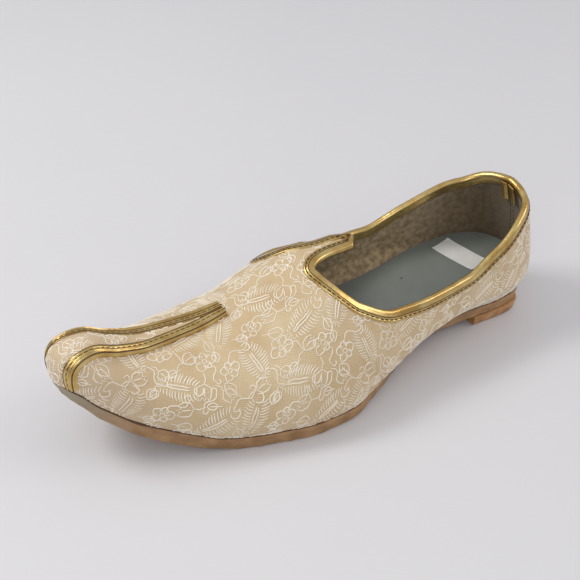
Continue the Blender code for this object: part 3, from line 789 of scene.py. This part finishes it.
@dataclass
class Cloth:
    """A surface with a flat chart, on which threads are drawn."""

    points: list
    faces: list
    flat: list

    def __post_init__(self) -> None:
        """Builds the trees that find a place on the chart and on the surface."""
        level = [Vector((u, v, 0)) for u, v in self.flat]
        self.map_tree = BVHTree.FromPolygons(level, self.faces)
        self.tree = BVHTree.FromPolygons(self.points, self.faces)
        self.level = level

    def lift(self, u: float, v: float, height: float) -> Vector | None:
        """Point of the surface at a place on the chart, raised by a height, or None off the cloth."""
        spot = Vector((u, v, 0))
        _, _, index, gap = self.map_tree.find_nearest(spot, 0.0004)
        if index is None or gap > 0.0003:
            return None
        a, b, c = self.faces[index][:3]
        found = barycentric_transform(
            spot, self.level[a], self.level[b], self.level[c], self.points[a], self.points[b], self.points[c]
        )
        near, normal, _, _ = self.tree.find_nearest(found)
        return near + normal * height if near else None


class Motif:
    """Own motifs of the figured weave, drawn as strokes in millimetres: a path and a thread radius."""

    @staticmethod
    def fern(length: float, pairs: int, reach: float) -> list:
        """A comb leaf: a doubled rib with slanting floats to each side, and a curl at its foot."""
        strokes = []
        for offset in (-0.62, 0.62):
            strokes.append(([(x, offset * math.sin(math.pi * (x / length + 0.5)) + offset * 0.4)
                             for x in spread(-length * 0.33, length * 0.36, 7)], 0.42))
        for i in range(pairs):
            t = (i + 0.5) / pairs
            x = length * (t - 0.5)
            out = reach * (0.30 + 0.70 * math.sin(math.pi * min(1.0, t * 0.92 + 0.10)))
            for sign in (-1, 1):
                fan = 2.6 * (t - 0.5)
                path = [(x, sign * 2.1), (x + fan * 0.3 - 0.3, sign * (2.0 + out * 0.5)),
                        (x + fan - 1.3, sign * (1.8 + out))]
                strokes.append((path, 0.37))
        tip = length / 2
        for slant in (-0.5, 0.0, 0.5):
            strokes.append(([(tip - 1.4, slant * 1.5), (tip + 1.4, slant * 4.2)], 0.35))
        curl = [(-tip - 1.6 - 2.4 * math.cos(a), 2.4 * math.sin(a)) for a in spread(-0.6, 3.9, 8)]
        strokes.append((curl, 0.40))
        return strokes

    @staticmethod
    def flower(radius: float) -> list:
        """Five open pointed petals of unlike sizes round a small ring."""
        strokes = [([(1.4 * math.cos(a), 1.4 * math.sin(a)) for a in spread(0, 2 * math.pi, 8)], 0.34)]
        for k in range(5):
            turn = 2 * math.pi * k / 5 + 0.12 * math.sin(3.0 * k)
            reach = radius * (1.0, 0.80, 1.08, 0.86, 0.94)[k]
            petal = []
            c, s = math.cos(turn), math.sin(turn)
            for a in spread(-2.6, 2.6, 10):
                x = reach * (0.62 + 0.40 * math.cos(a))
                y = reach * 0.33 * math.sin(a) * (1.25 - 0.35 * math.cos(a))
                petal.append((x * c - y * s, x * s + y * c))
            strokes.append((petal, 0.36))
        return strokes

    @staticmethod
    def tulip(size: float) -> list:
        """A cup of three petals on a short stem."""
        strokes = []
        for sign in (-1, 1):
            cup = [(0, 0), (0.25, 0.42), (0.62, 0.46), (1.0, 0.30), (0.80, 0.10)]
            strokes.append(([(x * size, sign * y * size) for x, y in cup], 0.38))
        strokes.append(([(x * size, y * size) for x, y in ((0.80, -0.1), (1.08, 0), (0.80, 0.1))], 0.34))
        strokes.append(([(x * size, 0.02 * size) for x in (0.2, 0.5, 0.74)], 0.40))
        strokes.append(([(0, 0), (-0.35 * size, 0.10 * size), (-0.75 * size, -0.06 * size)], 0.34))
        return strokes

    @staticmethod
    def leaf(size: float) -> list:
        """A pointed leaf with one vein."""
        strokes = []
        for sign in (-1, 1):
            edge = [(size * t, sign * size * 0.34 * math.sin(math.pi * t)) for t in spread(0, 1, 6)]
            strokes.append((edge, 0.34))
        strokes.append(([(size * t, 0) for t in (-0.35, 0.2, 0.75)], 0.34))
        return strokes

    @staticmethod
    def vine(length: float, sway: float) -> list:
        """A waving stem that ends in two curls."""
        stem = [(length * (t - 0.5), sway * math.sin(2 * math.pi * t)) for t in spread(0, 1, 12)]
        strokes = [(stem, 0.33)]
        for sign in (-1, 1):
            x = sign * length / 2
            curl = [(x + sign * 1.9 * math.sin(a), sign * 1.9 * (1 - math.cos(a))) for a in spread(0, 4.4, 7)]
            strokes.append((curl, 0.32))
        return strokes


# Layout of the figured weave: what stands where in one repeat of the cloth, in millimetres and degrees
Sprig = namedtuple("Sprig", "kind along down turn scale")
REPEAT = (58.0, 50.0)
SPRIGS = (
    Sprig("fern", 11, 9, 15, 1.0),
    Sprig("fern", 40, 12, 100, 0.95),
    Sprig("fern", 24, 33, -30, 1.0),
    Sprig("fern", 50, 38, 60, 0.95),
    Sprig("flower", 26, 13, 10, 1.0),
    Sprig("flower", 6, 25, 40, 0.95),
    Sprig("flower", 35, 45, 25, 0.9),
    Sprig("flower", 54, 10, 55, 0.9),
    Sprig("tulip", 11, 36, 70, 1.0),
    Sprig("tulip", 45, 25, 190, 0.9),
    Sprig("tulip", 16, 22, 200, 0.85),
    Sprig("tulip", 20, 46, -15, 0.95),
    Sprig("tulip", 3, 43, 120, 0.85),
    Sprig("leaf", 29, 3, 150, 1.0),
    Sprig("leaf", 55, 22, -60, 1.0),
    Sprig("leaf", 35, 30, 45, 0.9),
    Sprig("leaf", 1, 15, 100, 0.9),
    Sprig("vine", 17, 19, -40, 0.9),
    Sprig("vine", 52, 26, 15, 0.8),
    Sprig("vine", 33, 24, -70, 0.8),
    Sprig("vine", 27, 42, 5, 0.8),
    Sprig("vine", 11, 45, 35, 0.7),
    Sprig("vine", 46, 2, 20, 0.9),
    Sprig("leaf", 21, 25, 10, 0.7),
    Sprig("leaf", 44, 46, 160, 0.75),
    Sprig("leaf", 8, 49, -20, 0.7),
    Sprig("tulip", 30, 22, 120, 0.7),
    Sprig("leaf", 57, 47, 80, 0.75),
    Sprig("vine", 4, 33, 80, 0.6),
    Sprig("leaf", 39, 34, 200, 0.7),
)
MOTIFS = {
    "fern": Motif.fern(18.0, 12, 5.4),
    "flower": Motif.flower(6.0),
    "tulip": Motif.tulip(8.4),
    "leaf": Motif.leaf(8.2),
    "vine": Motif.vine(15.0, 2.2),
}
# How far a thread wanders from its drawn line, in millimetres, and where the noise is read for the way down
WOBBLE = 0.6
WOBBLE_STEP = Vector((31.7, 17.3, 5.1))
# Height of a thread's middle above the cloth
THREAD_LIFT = 0.00001
# Stitches along the gold edges: their pitch, length and thickness
EDGE_STITCHES = {"Pitch": 0.0031, "Stitch": 0.0025, "Thickness": 0.00066}


def draw_weave(cloth: Cloth, area: tuple, height: float) -> list:
    """Strokes of the figured weave over an area of a cloth's chart.

    Args:
        cloth: the surface that takes the threads.
        area: low and high limits of the chart in metres: along, along, down, down.
        height: lift of a thread's middle above the surface.

    Returns:
        Strokes, each a list of points with their radius.
    """
    strokes = []
    step_u, step_v = (size * MM for size in REPEAT)
    for i in range(int(area[0] // step_u), int(area[1] // step_u) + 1):
        shift = step_v / 2 if i % 2 else 0.0
        for j in range(int(area[2] // step_v) - 1, int(area[3] // step_v) + 1):
            for sprig in SPRIGS:
                turn = math.radians(sprig.turn)
                base_u, base_v = i * step_u + sprig.along * MM, j * step_v + shift + sprig.down * MM
                for path, radius in MOTIFS[sprig.kind]:
                    run = []
                    for k, (x, y) in enumerate(path):
                        seat = Vector((x * 0.35 + i * 7, y * 0.35 + j * 5, sprig.along))
                        x += noise.noise(seat) * WOBBLE
                        y += noise.noise(seat + WOBBLE_STEP) * WOBBLE
                        x, y = x * sprig.scale * MM, y * sprig.scale * MM
                        u = base_u + x * math.cos(turn) - y * math.sin(turn)
                        v = base_v + x * math.sin(turn) + y * math.cos(turn)
                        point = cloth.lift(u, v, height)
                        if point is None:
                            if len(run) > 1:
                                strokes.append(run)
                            run = []
                            continue
                        end = 0.6 if k in (0, len(path) - 1) else 1.0
                        run.append((point, radius * MM * end))
                    if len(run) > 1:
                        strokes.append(run)
    return strokes


@dataclass
class Upper:
    """The brocade upper with its velvet lining and raised threads."""

    lower_steps: int = 10
    upper_steps: int = 20
    top_steps: int = 14

    def wall_steps(self, top: float) -> list[float]:
        """Values of v up a section, from the foot line over the widest point to a given end."""
        return spread(0.0, 1.0, self.lower_steps) + spread(1.0, top, self.upper_steps)[1:]

    def skin(self) -> MeshDraft:
        """The outside of the upper with its chart."""
        draft = MeshDraft()
        for side in Side:
            tip = row_at(SCALLOP_TIPS[side])
            tip_v = v_at_reach(side, tip, SCALLOP_HALF_WIDTHS[side])
            rear = [(place, self.wall_steps(rim_v(side, place))) for place in side_places(side)[:-1]]
            rear.append((tip, self.wall_steps(tip_v)))
            front_steps = self.wall_steps(tip_v) + spread(tip_v, 2.0, self.top_steps)[1:]
            front = [(place, front_steps) for place in front_places(side)]
            tab = []
            for x in (x for x in ridge_stations() if x < SCALLOP_TIPS[side]):
                edge = v_at_reach(side, row_at(x), tab_half_width(side, x))
                tab.append((row_at(x), spread(edge, 2.0, self.top_steps)))
            tab.append((tip, spread(tip_v, 2.0, self.top_steps)))
            for patch in (rear, front, tab):
                rows = [[creased(side, place, v)[0] for v in steps] for place, steps in patch]
                flat = [[chart(side, place, v) for v in steps] for place, steps in patch]
                draft.grid(rows, flat, flip=side is Side.LEFT)
        return draft

    def build(self) -> Cloth:
        """Builds the shell and its threads, and returns the outside for the pieces laid on it."""
        draft = self.skin()
        shell = draft.build("brocade_upper", BROCADE_GROUND, VELVET, closed=False, angle=60)
        wall = shell.modifiers.new("Wall", "SOLIDIFY")
        wall.thickness = WALL
        wall.offset = -1
        wall.use_quality_normals = True
        wall.material_offset = 1
        shell = freeze(shell)
        shell.data.shade_smooth()
        shell.data.set_sharp_from_angle(angle=math.radians(50))
        settle(shell, "brocade", "upper")
        cloth = Cloth(draft.points, draft.faces, draft.chart)
        tree = PathNodes.cord_tree()
        us = [u for u, _ in draft.chart]
        for side, name in ((Side.LEFT, "figure_threads_left"), (Side.RIGHT, "figure_threads_right")):
            limits = (0.0, 0.12) if side is Side.LEFT else (-0.12, 0.0)
            strokes = draw_weave(cloth, (min(us), max(us), *limits), THREAD_LIFT)
            strokes = [s for s in strokes if (s[0][0].y >= 0) == (side is Side.LEFT)]
            threads = PathNodes.run(name, tree, strokes, FIGURE_THREAD, Sides=5.0)
            settle(threads, "brocade")
        return cloth


@dataclass
class Binding:
    """The gold leather bound over the edge of the throat, with its row of stitches."""

    flange: float = 0.0050
    thickness: float = 0.0008
    puff: float = 0.00035
    stitch_inset: float = 0.0014
    # Radius of a dark cord of painted shade along the flange's crease
    shade_line_radius: float = 0.00024

    def lift(self, share: float) -> float:
        """Height of the flange above the upper at a share of its width."""
        if share >= 1.0:
            return self.thickness * 0.15
        return self.thickness * 0.9 + self.puff * math.sin(math.pi * min(1.0, share * 0.9 + 0.1)) ** 0.7

    def edge(self) -> list:
        """Points round the throat with outward directions and flange widths, from the middle of the tab."""
        halves = []
        for side in Side:
            half = []
            for x in (x for x in ridge_stations() if x <= SCALLOP_TIPS[side]):
                place, width = row_at(x), tab_half_width(side, x)
                point, normal = creased(side, place, v_at_reach(side, place, width))
                half.append((point, normal, min(self.flange, width - CLEARANCE)))
            for place in side_places(side)[-2::-1]:
                point, normal = creased(side, place, rim_v(side, place))
                half.append((point, normal, self.flange))
            halves.append(half)
        left, right = halves
        tip = creased(Side.LEFT, row_at(TAB_END), 1.9999)[0]
        middle = (tip, Vector((0, 0, 1)), TAB_HALF_WIDTH - CLEARANCE)
        return [middle] + left + right[-2::-1]

    def build(self, cloth: Cloth) -> None:
        """Builds the fold and its stitches on the upper, with a thin dark cord of painted crease shade along
        the middle of the flange.
        """
        edge = self.edge()
        rings, stitches, fold = [], [], []
        for i, (point, normal, width) in enumerate(edge):
            ahead, behind = edge[(i + 1) % len(edge)][0], edge[i - 1][0]
            tangent = (ahead - point).normalized() + (point - behind).normalized()
            into = tangent.cross(normal).normalized()
            outer, inner = [], []
            for share in (1.0, 0.97, 0.86, 0.79, 0.75, 0.71, 0.60, 0.45, 0.25, 0.08):
                found, facing, _, _ = cloth.tree.find_nearest(point + into * width * share)
                facing = facing if facing.dot(normal) > 0 else -facing
                up = (facing + normal * 0.5).normalized()
                lift = self.lift(share) - 0.0003 * bump_at(share, 1 - self.stitch_inset / self.flange, 0.05)
                outer.append(found + up * lift)
                inner.append(found - up * (WALL + lift * 0.8))
            # A thin dark cord of painted shade runs along the crease in the middle of the flange
            fold.append((outer[7], self.shade_line_radius))
            reach = WALL / 2 + self.thickness + 0.0002
            centre = point - normal * WALL / 2 - into * 0.0001
            crown = []
            for angle in spread(80, -80, 8):
                c, s = math.cos(math.radians(angle)), math.sin(math.radians(angle))
                crown.append(centre - into * reach * 0.85 * c + normal * reach * s)
            heart = point + into * width * 0.96
            core = [heart - normal * WALL * 0.9, heart - normal * WALL * 0.1]
            rings.append(outer + crown + inner[::-1] + core)
            if width > self.stitch_inset * 2:
                found, facing, _, _ = cloth.tree.find_nearest(point + into * (width - self.stitch_inset))
                facing = facing if facing.dot(normal) > 0 else -facing
                lift = self.lift(1 - self.stitch_inset / width) - 0.0001
                stitches.append((found + facing * lift, 0.0003))
        draft = MeshDraft()
        draft.loft(rings, closed=True)
        settle(draft.build("throat_binding", GOLD_FOIL, angle=70), "gold_leather", "collar_binding")
        row = PathNodes.run(
            "throat_binding_stitches", PathNodes.stitch_tree(), [stitches], STITCH_THREAD, **EDGE_STITCHES
        )
        settle(row, "thread")
        # The painted crease shade, as a dark cord
        line = PathNodes.run(
            "throat_binding_painted_crease_shade", PathNodes.cord_tree(), [fold + fold[:1]], CEMENT_AND_SHADE_BROWN, Sides=5.0
        )
        settle(line, "thread")


@dataclass
class ToeBand:
    """The raised band over the toe: a brocade insert between two rolled gold trims."""

    gap: float = 0.0004
    insert_height: float = 0.0017
    flat_height: float = 0.0021
    # Radius of the dark cords along the trims, mostly painted shade in their grooves
    shade_line_radius: float = 0.00028
    join: float = 0.12

    def path(self) -> list:
        """Points down the middle of the vamp and over the nose, with outward directions and shares."""
        points = []
        for x in spread(BAND_END, column("along", TOE_SIDE) * LENGTH, 70):
            points.append(bare_surface(Side.LEFT, min(row_at(x), TOE_SIDE), 2.0))
        nose = spread(1.985, 1.0, 40) + spread(1.0, 0.13, 12)[1:]
        points += [bare_surface(Side.LEFT, TOE_TIP, v) for v in nose]
        travelled = [0.0]
        for a, b in zip(points, points[1:]):
            travelled.append(travelled[-1] + (b - a).length)
        path = []
        for i, point in enumerate(points):
            tangent = (points[min(i + 1, len(points) - 1)] - points[max(i - 1, 0)]).normalized()
            outwards = Vector((-tangent.z, 0, tangent.x))
            path.append((point, outwards, travelled[i] / travelled[-1], travelled[i]))
        return path

    @staticmethod
    def half_width(share: float) -> float:
        """Half width of the band from its end on the vamp to the foot of the nose."""
        return BAND_END_HALF_WIDTH + (BAND_FOOT_HALF_WIDTH - BAND_END_HALF_WIDTH) * share**0.8

    def seam(self, share: float) -> float:
        """Offset of the line between the insert and a trim."""
        trim_width = TRIM_WIDTH - (TRIM_WIDTH - TRIM_FOOT_WIDTH) * share**3
        return max(0.0, self.half_width(share) - trim_width)

    @staticmethod
    def drop(cloth: Cloth, spot: Vector, normal: Vector) -> Vector:
        """Where a line against the outward direction meets the upper."""
        found = cloth.tree.ray_cast(spot + normal * 0.02, -normal, 0.03)[0]
        return found or cloth.tree.find_nearest(spot)[0]

    def strip(self, cloth: Cloth, offsets: Callable, heights: tuple, first: float = 0.0) -> tuple:
        """Rings of a strip, with the upper row of points and its flat coordinates."""
        rings, tops, flat = [], [], []
        for point, normal, share, travelled in self.path():
            if share >= first:
                ys = offsets(share)
                spots = [self.drop(cloth, point + Vector((0, y, 0)), normal) for y in ys]
                base = [spot + normal * self.gap * 0.5 for spot in spots]
                top = [spot + normal * (self.gap + height) for spot, height in zip(spots, heights)]
                rings.append(top + base[::-1])
                tops.append((top, normal))
                flat.append([(travelled, y) for y in ys])
        return rings, tops, flat

    def build(self, cloth: Cloth) -> None:
        """Builds both trims with their stitches and dark cords, mostly painted shade in their grooves, and
        the insert with its threads.
        """
        slim = CLEARANCE / 2
        rolls = (0.60, 0.92, 1.00, 1.02, 0.98, 0.80, 0.98, 1.02, 0.96, 0.84, 1.20, 1.42, 1.40, 1.10, 0.40)
        heights = tuple(self.flat_height * roll for roll in rolls)
        stitch_rows, groove_shade_lines = [], []
        for side, name in ((Side.LEFT, "toe_trim_left"), (Side.RIGHT, "toe_trim_right")):

            def across(share: float, side: Side = side) -> list[float]:
                """Offsets of the trim's rolls from the middle of the band."""
                low, high = self.seam(share) + slim, self.half_width(share)
                return [side.value * y for y in spread(low, high, len(rolls) - 1)]

            rings, tops, _ = self.strip(cloth, across, heights)
            draft = MeshDraft()
            draft.loft(rings)
            settle(draft.build(name + "_roll", GOLD_FOIL, angle=60), "gold_leather", name)
            stitch_rows.append([(top[5] + normal * 0.0001, 0.0003) for top, normal in tops])
            # Dark cords: at places 9 and 13 painted shade in the grooves on both sides of the outer roll, at
            # place 1 a darkened joint with the insert
            for place, share in ((1, 0.8), (9, 1.0), (13, 1.2)):
                radius = self.shade_line_radius * share
                groove_shade_lines.append([(top[place] + normal * 0.00002, radius) for top, normal in tops])
        row = PathNodes.run(
            "toe_band_stitches", PathNodes.stitch_tree(), stitch_rows, STITCH_THREAD, **EDGE_STITCHES
        )
        settle(row, "thread")
        lines = PathNodes.run("toe_band_painted_groove_shade", PathNodes.cord_tree(), groove_shade_lines, CEMENT_AND_SHADE_BROWN, Sides=5.0)
        settle(lines, "thread")

        def middle(share: float) -> list[float]:
            """Offsets across the insert."""
            half = max(self.seam(share) - slim, slim)
            return spread(-half, half, 12)

        swell = tuple(self.insert_height * (0.75 + 0.35 * math.sin(math.pi * t)) for t in spread(0, 1, 12))
        rings, tops, flat = self.strip(cloth, middle, swell, self.join)
        draft = MeshDraft()
        draft.loft(rings, flat=[row + row[::-1] for row in flat])
        settle(draft.build("toe_band_insert", BROCADE_GROUND, angle=60), "brocade", "toe_band")
        top = MeshDraft()
        top.grid([points for points, _ in tops], flat, flip=False)
        insert = Cloth(top.points, top.faces, top.chart)
        strokes = draw_weave(insert, (0.0, 0.12, -0.02, 0.02), THREAD_LIFT)
        threads = PathNodes.run("toe_band_threads", PathNodes.cord_tree(), strokes, FIGURE_THREAD, Sides=5.0)
        settle(threads, "brocade")


@dataclass
class Sole:
    """The moulded sole, its heel block, and the cement line that joins the sole to the upper."""

    flash: float = 0.0006
    heel_length: float = 0.0380
    heel_round: float = 0.0200
    heel_squareness: float = 0.62
    rear_taper: float = 0.0020
    side_taper: float = 0.0008
    profile: tuple = (
        (0.0, -0.0012), (0.03, -0.0004), (0.12, 0.0), (0.30, -0.0005), (0.6, -0.0002), (0.90, 0.0),
        (1.0, -0.0005),
    )
    layers: tuple = ((0, 0.0009), (0.04, 0.0002), (0.2, 0), (0.5, 0.0001), (0.93, 0), (1, 0.0004))
    joint_radius: float = 0.00045
    gape: tuple = (0.88, 0.02, 0.0005)

    def edge(self, side: Side, place: float) -> list[Vector]:
        """Points up the side of the sole, from its chipped lower lip to its rounded top."""
        foot = foot_reach(side, place)
        points = []
        for share, stand in self.profile:
            reach = foot + SOLE_EDGE + stand - SOLE_UNDERCUT * (1 - share)
            spot = place_point(side, place, reach, 0)
            rough = noise.noise(Vector((spot.x * 260, spot.y * 260, share))) * max(0.0, 1 - share * 3)
            chips = noise.noise(Vector((spot.x * 900, spot.y * 900, 7))) * 0.5 * max(0.0, 1 - share * 4)
            spot = place_point(side, place, reach + (rough + chips) * self.flash, 0)
            low = bed("foot_height", spot.x) - bed("sole_thickness", spot.x)
            high = bed("foot_height", spot.x) - CLEARANCE
            spot.z = low + (high - low) * share
            points.append(spot)
        return points

    def build_sole(self) -> None:
        """Builds the sole."""
        rings = []
        for place in base_places():
            left, right = (self.edge(side, place) for side in Side)
            middle = place_point(Side.LEFT, place, 0, 0)
            foot, thickness = bed("foot_height", middle.x), bed("sole_thickness", middle.x)
            top = Vector((middle.x, 0, foot - CLEARANCE))
            base = Vector((middle.x, 0, foot - thickness))
            over = [(left[-1] + top) / 2, top, (right[-1] + top) / 2]
            under = [(right[0] + base) / 2, base, (left[0] + base) / 2]
            rings.append(left + over + right[::-1] + under)
        draft = MeshDraft()
        draft.loft(rings)
        settle(draft.build("rubber_sole", SOLE_RUBBER, angle=45), "sole", "outsole")

    def build_heel(self) -> None:
        """Builds the heel block in thin layers with soft edges."""
        height = bed("foot_height", 0.0) - bed("sole_thickness", 0.0) - CLEARANCE
        half_width = sum(foot_reach(side, HEEL_SIDE) for side in Side) / 2 + SOLE_EDGE
        front = HEEL_BACK + self.heel_length
        rings = []
        for share, inset in self.layers:
            low = max(0.0, 1 - share / 0.2)
            taper = 1 - max(0.0, share - 0.2) / 0.8
            narrowing = self.side_taper * (1 + low) * taper + inset
            rear = HEEL_BACK + self.rear_taper * (0.6 + 0.4 * low) * taper + inset
            half = half_width - narrowing
            ring = [Vector((front - inset, half * t, height * share)) for t in (0.0, 0.5, 0.97, 1.0)]
            for angle in spread(90, -90, 48):
                c, s = math.cos(math.radians(angle)), math.sin(math.radians(angle))
                x = rear + self.heel_round * (1 - abs(c) ** self.heel_squareness)
                y = half * math.copysign(abs(s) ** self.heel_squareness, s)
                chip = noise.noise(Vector((x * 500, y * 500, share))) * 0.0002
                ring.append(Vector((x + chip, y, height * share)))
            ring += [Vector((front - inset, -half * t, height * share)) for t in (1.0, 0.97, 0.5)]
            rings.append(ring)
        draft = MeshDraft()
        draft.loft(rings)
        settle(draft.build("rubber_heel", HEEL_RUBBER, angle=35), "heel", "heel_block")

    def build_cement(self) -> None:
        """Runs the cement round the joint between the upper and the sole, thicker where the joint gapes."""
        stroke = []
        gape_middle, gape_width, gape_radius = self.gape
        places = base_places()
        for side, run in ((Side.LEFT, places), (Side.RIGHT, places[::-1])):
            for place in run:
                spot = bare_surface(side, place, 0.0)
                reach = foot_reach(side, place) + 0.0002
                wander = noise.noise(Vector((spot.x * 150, spot.y * 150, 1))) * 0.00012
                radius = self.joint_radius + wander
                if side is Side.LEFT:
                    radius += gape_radius * bump_at(spot.x / LENGTH, gape_middle, gape_width)
                stroke.append((place_point(side, place, reach, spot.z), radius))
        tube = PathNodes.run("sole_cement_line", PathNodes.cord_tree(), [stroke], CEMENT_AND_SHADE_BROWN, Sides=6.0)
        settle(tube, "thread")


@dataclass
class Inside:
    """The footbed, its plain label, the folded ends of the binding and the back seam."""

    label: tuple = (0.031, 0.014)
    label_turn: float = 13.0
    speck: tuple = (0.071, -0.011)
    label_curl: float = 0.0006
    label_thickness: float = 0.00035
    tail_start: float = 0.04
    tail_turn: float = 0.36
    tail_drop: float = 0.0125
    seam_turn: float = 0.07
    seam_heights: tuple = (0.034, 0.064)

    def build_footbed(self) -> None:
        """Copies the insole's solid, cuts it finer for an even shading and gives it its finish."""
        source = bpy.data.objects["insole"]
        mesh = source.data.copy()
        work = bmesh.new()
        work.from_mesh(mesh)
        work.transform(source.matrix_world)
        bmesh.ops.remove_doubles(work, verts=work.verts, dist=0.00001)
        cuts = [(Vector((x, 0, 0)), Vector((1, 0, 0))) for x in spread(-LENGTH / 2, LENGTH / 2, 72)]
        cuts += [(Vector((0, y, 0)), Vector((0, 1, 0))) for y in spread(-BALL_WIDTH / 2, BALL_WIDTH / 2, 20)]
        for spot, normal in cuts:
            everything = work.verts[:] + work.edges[:] + work.faces[:]
            bmesh.ops.bisect_plane(work, geom=everything, dist=0.00001, plane_co=spot, plane_no=normal)
        bmesh.ops.dissolve_degenerate(work, dist=0.0001, edges=work.edges[:])
        work.to_mesh(mesh)
        work.free()
        mesh.materials.clear()
        mesh.materials.append(FOOTBED.material())
        mesh.shade_smooth()
        mesh.set_sharp_from_angle(angle=math.radians(25))
        obj = bpy.data.objects.new("footbed", mesh)
        bpy.context.scene.collection.objects.link(obj)
        settle(obj, "footbed", "insole")
        spot = Vector((*self.speck, bed("insole_height", self.speck[0])))
        stroke = [(spot, 0.0004), (spot + Vector((0.0007, 0.0003, 0)), 0.0004)]
        speck = PathNodes.run("footbed_speck", PathNodes.cord_tree(), [stroke], CEMENT_AND_SHADE_BROWN, Sides=6.0)
        settle(speck, "thread")

    def build_label(self) -> None:
        """Builds a blank label that lifts a little at its corners."""
        along, across = 0.1155 * LENGTH, -0.065 * BALL_WIDTH
        turn = math.radians(self.label_turn)
        rings = []
        for a in spread(-0.5, 0.5, 16):
            low = []
            for b in spread(-0.5, 0.5, 28):
                p, q = a * self.label[1], b * self.label[0]
                x = along + p * math.cos(turn) - q * math.sin(turn)
                y = across + p * math.sin(turn) + q * math.cos(turn)
                curl = self.label_curl * abs(2 * a * 2 * b) ** 4
                low.append(Vector((x, y, bed("insole_height", x) + CLEARANCE + curl)))
            high = [point + Vector((0, 0, self.label_thickness)) for point in low]
            rings.append(high + low[::-1])
        draft = MeshDraft()
        draft.loft(rings)
        settle(draft.build("blank_label", LABEL_CLOTH, angle=50), "label", "insole_label")

    def build_tails(self) -> None:
        """Builds the two folded ends of the binding and the stitched seam under them."""
        lift = WALL + 0.0016
        draft = MeshDraft()
        for side in (Side.RIGHT, Side.LEFT):
            rings = []
            for drop in spread(0.0005, self.tail_drop, 10):
                near, far = [], []
                for share in spread(0, 1, 8):
                    place = self.tail_start + (self.tail_turn - self.tail_start) * share
                    height = rim_height(side, place) - drop
                    point, normal = outside(side, place, v_at_height(side, place, height))
                    fold = 0.0005 * math.sin(math.pi * share) + 0.0002 * math.sin(share * 19)
                    near.append(point - normal * lift)
                    far.append(point - normal * (lift + 0.0005 + fold))
                rings.append(near + far[::-1])
            draft.loft(rings)
        settle(draft.build("binding_tails", GOLD_FOIL, angle=60), "gold_leather", "back_tail")
        rows = []
        for side in Side:
            row = []
            for height in spread(*self.seam_heights, 12):
                point, normal = outside(side, self.seam_turn, v_at_height(side, self.seam_turn, height))
                row.append((point - normal * (WALL + 0.0001), 0.0003))
            rows.append(row)
        seam = PathNodes.run(
            "back_seam_stitches", PathNodes.stitch_tree(), rows, STITCH_THREAD,
            Pitch=0.0026, Stitch=0.0018, Thickness=0.0005,
        )
        settle(seam, "thread")


@dataclass
class Studio:
    """The floor, the lights and the camera at the photograph's angle."""

    focal: float = 1200.0
    picture: float = 580.0
    sensor: float = 36.0
    eye: tuple = (0.4075, 0.4465, 0.4445)
    back: tuple = (0.3941, 0.6910, 0.6060)
    right: tuple = (-0.8686, 0.4955, 0.0)
    up: tuple = (-0.3003, -0.5264, 0.7955)

    def camera(self) -> None:
        """Places the camera."""
        data = bpy.data.cameras.new("photo_view")
        data.sensor_width = self.sensor
        data.lens = self.focal * self.sensor / self.picture
        data.clip_start = 0.01
        obj = bpy.data.objects.new("photo_view", data)
        turn = Matrix((self.right, self.up, self.back)).transposed().to_4x4()
        obj.matrix_world = Matrix.Translation(Vector(self.eye) + SHIFT) @ turn
        bpy.context.scene.collection.objects.link(obj)
        bpy.context.scene.camera = obj

    def light(self, name: str, place: tuple, size: float, power: float, colour: str) -> None:
        """Hangs a square soft light that faces the shoe."""
        data = bpy.data.lights.new(name, "AREA")
        data.size = size
        data.energy = power
        data.color = hex_colour(colour)[:3]
        obj = bpy.data.objects.new(name, data)
        obj.location = place
        obj.rotation_euler = Vector(place).to_track_quat("Z", "Y").to_euler()
        bpy.context.scene.collection.objects.link(obj)

    def build(self) -> None:
        """Builds the floor, the lights and the surrounding light."""
        draft = MeshDraft()
        draft.grid([[Vector((x, y, -0.0001)) for y in (-3.0, 3.0)] for x in (-3.0, 3.0)])
        floor = draft.build("floor", FLOOR_PAPER, closed=False)
        self.light("key_box", (0.70, -0.50, 1.05), 0.45, 7.6, "FFFDF8")
        self.light("front_box", (0.75, 0.95, 0.85), 0.7, 3.6, "FFFFFF")
        self.light("side_box", (-0.95, 0.50, 0.80), 0.6, 3.2, "FFF8F4")
        world = bpy.data.worlds.new("soft_room")
        world.use_nodes = True
        tree = world.node_tree
        sky = add_node(tree, "ShaderNodeTexCoord").outputs["Generated"]
        up = add_node(tree, "ShaderNodeSeparateXYZ", {"Vector": sky})
        ramp = {"Value": up.outputs["Z"], "From Min": -0.1, "From Max": 0.9, "To Min": 0.36, "To Max": 0.70}
        strength = add_node(tree, "ShaderNodeMapRange", ramp).outputs["Result"]
        tree.links.new(strength, tree.nodes["Background"].inputs["Strength"])
        tree.nodes["Background"].inputs["Color"].default_value = hex_colour("F4F5F8")
        bpy.context.scene.world = world
        bpy.context.scene.view_settings.view_transform = "Standard"


def main() -> None:
    """Builds the shoe in order and sets the studio round it."""
    logging.basicConfig(level=logging.INFO, format="%(message)s")
    studio = Studio()
    studio.camera()
    cloth = Upper().build()
    Binding().build(cloth)
    ToeBand().build(cloth)
    sole = Sole()
    sole.build_sole()
    sole.build_heel()
    sole.build_cement()
    inside = Inside()
    inside.build_footbed()
    inside.build_label()
    inside.build_tails()
    studio.build()


if __name__ == "__main__":
    main()
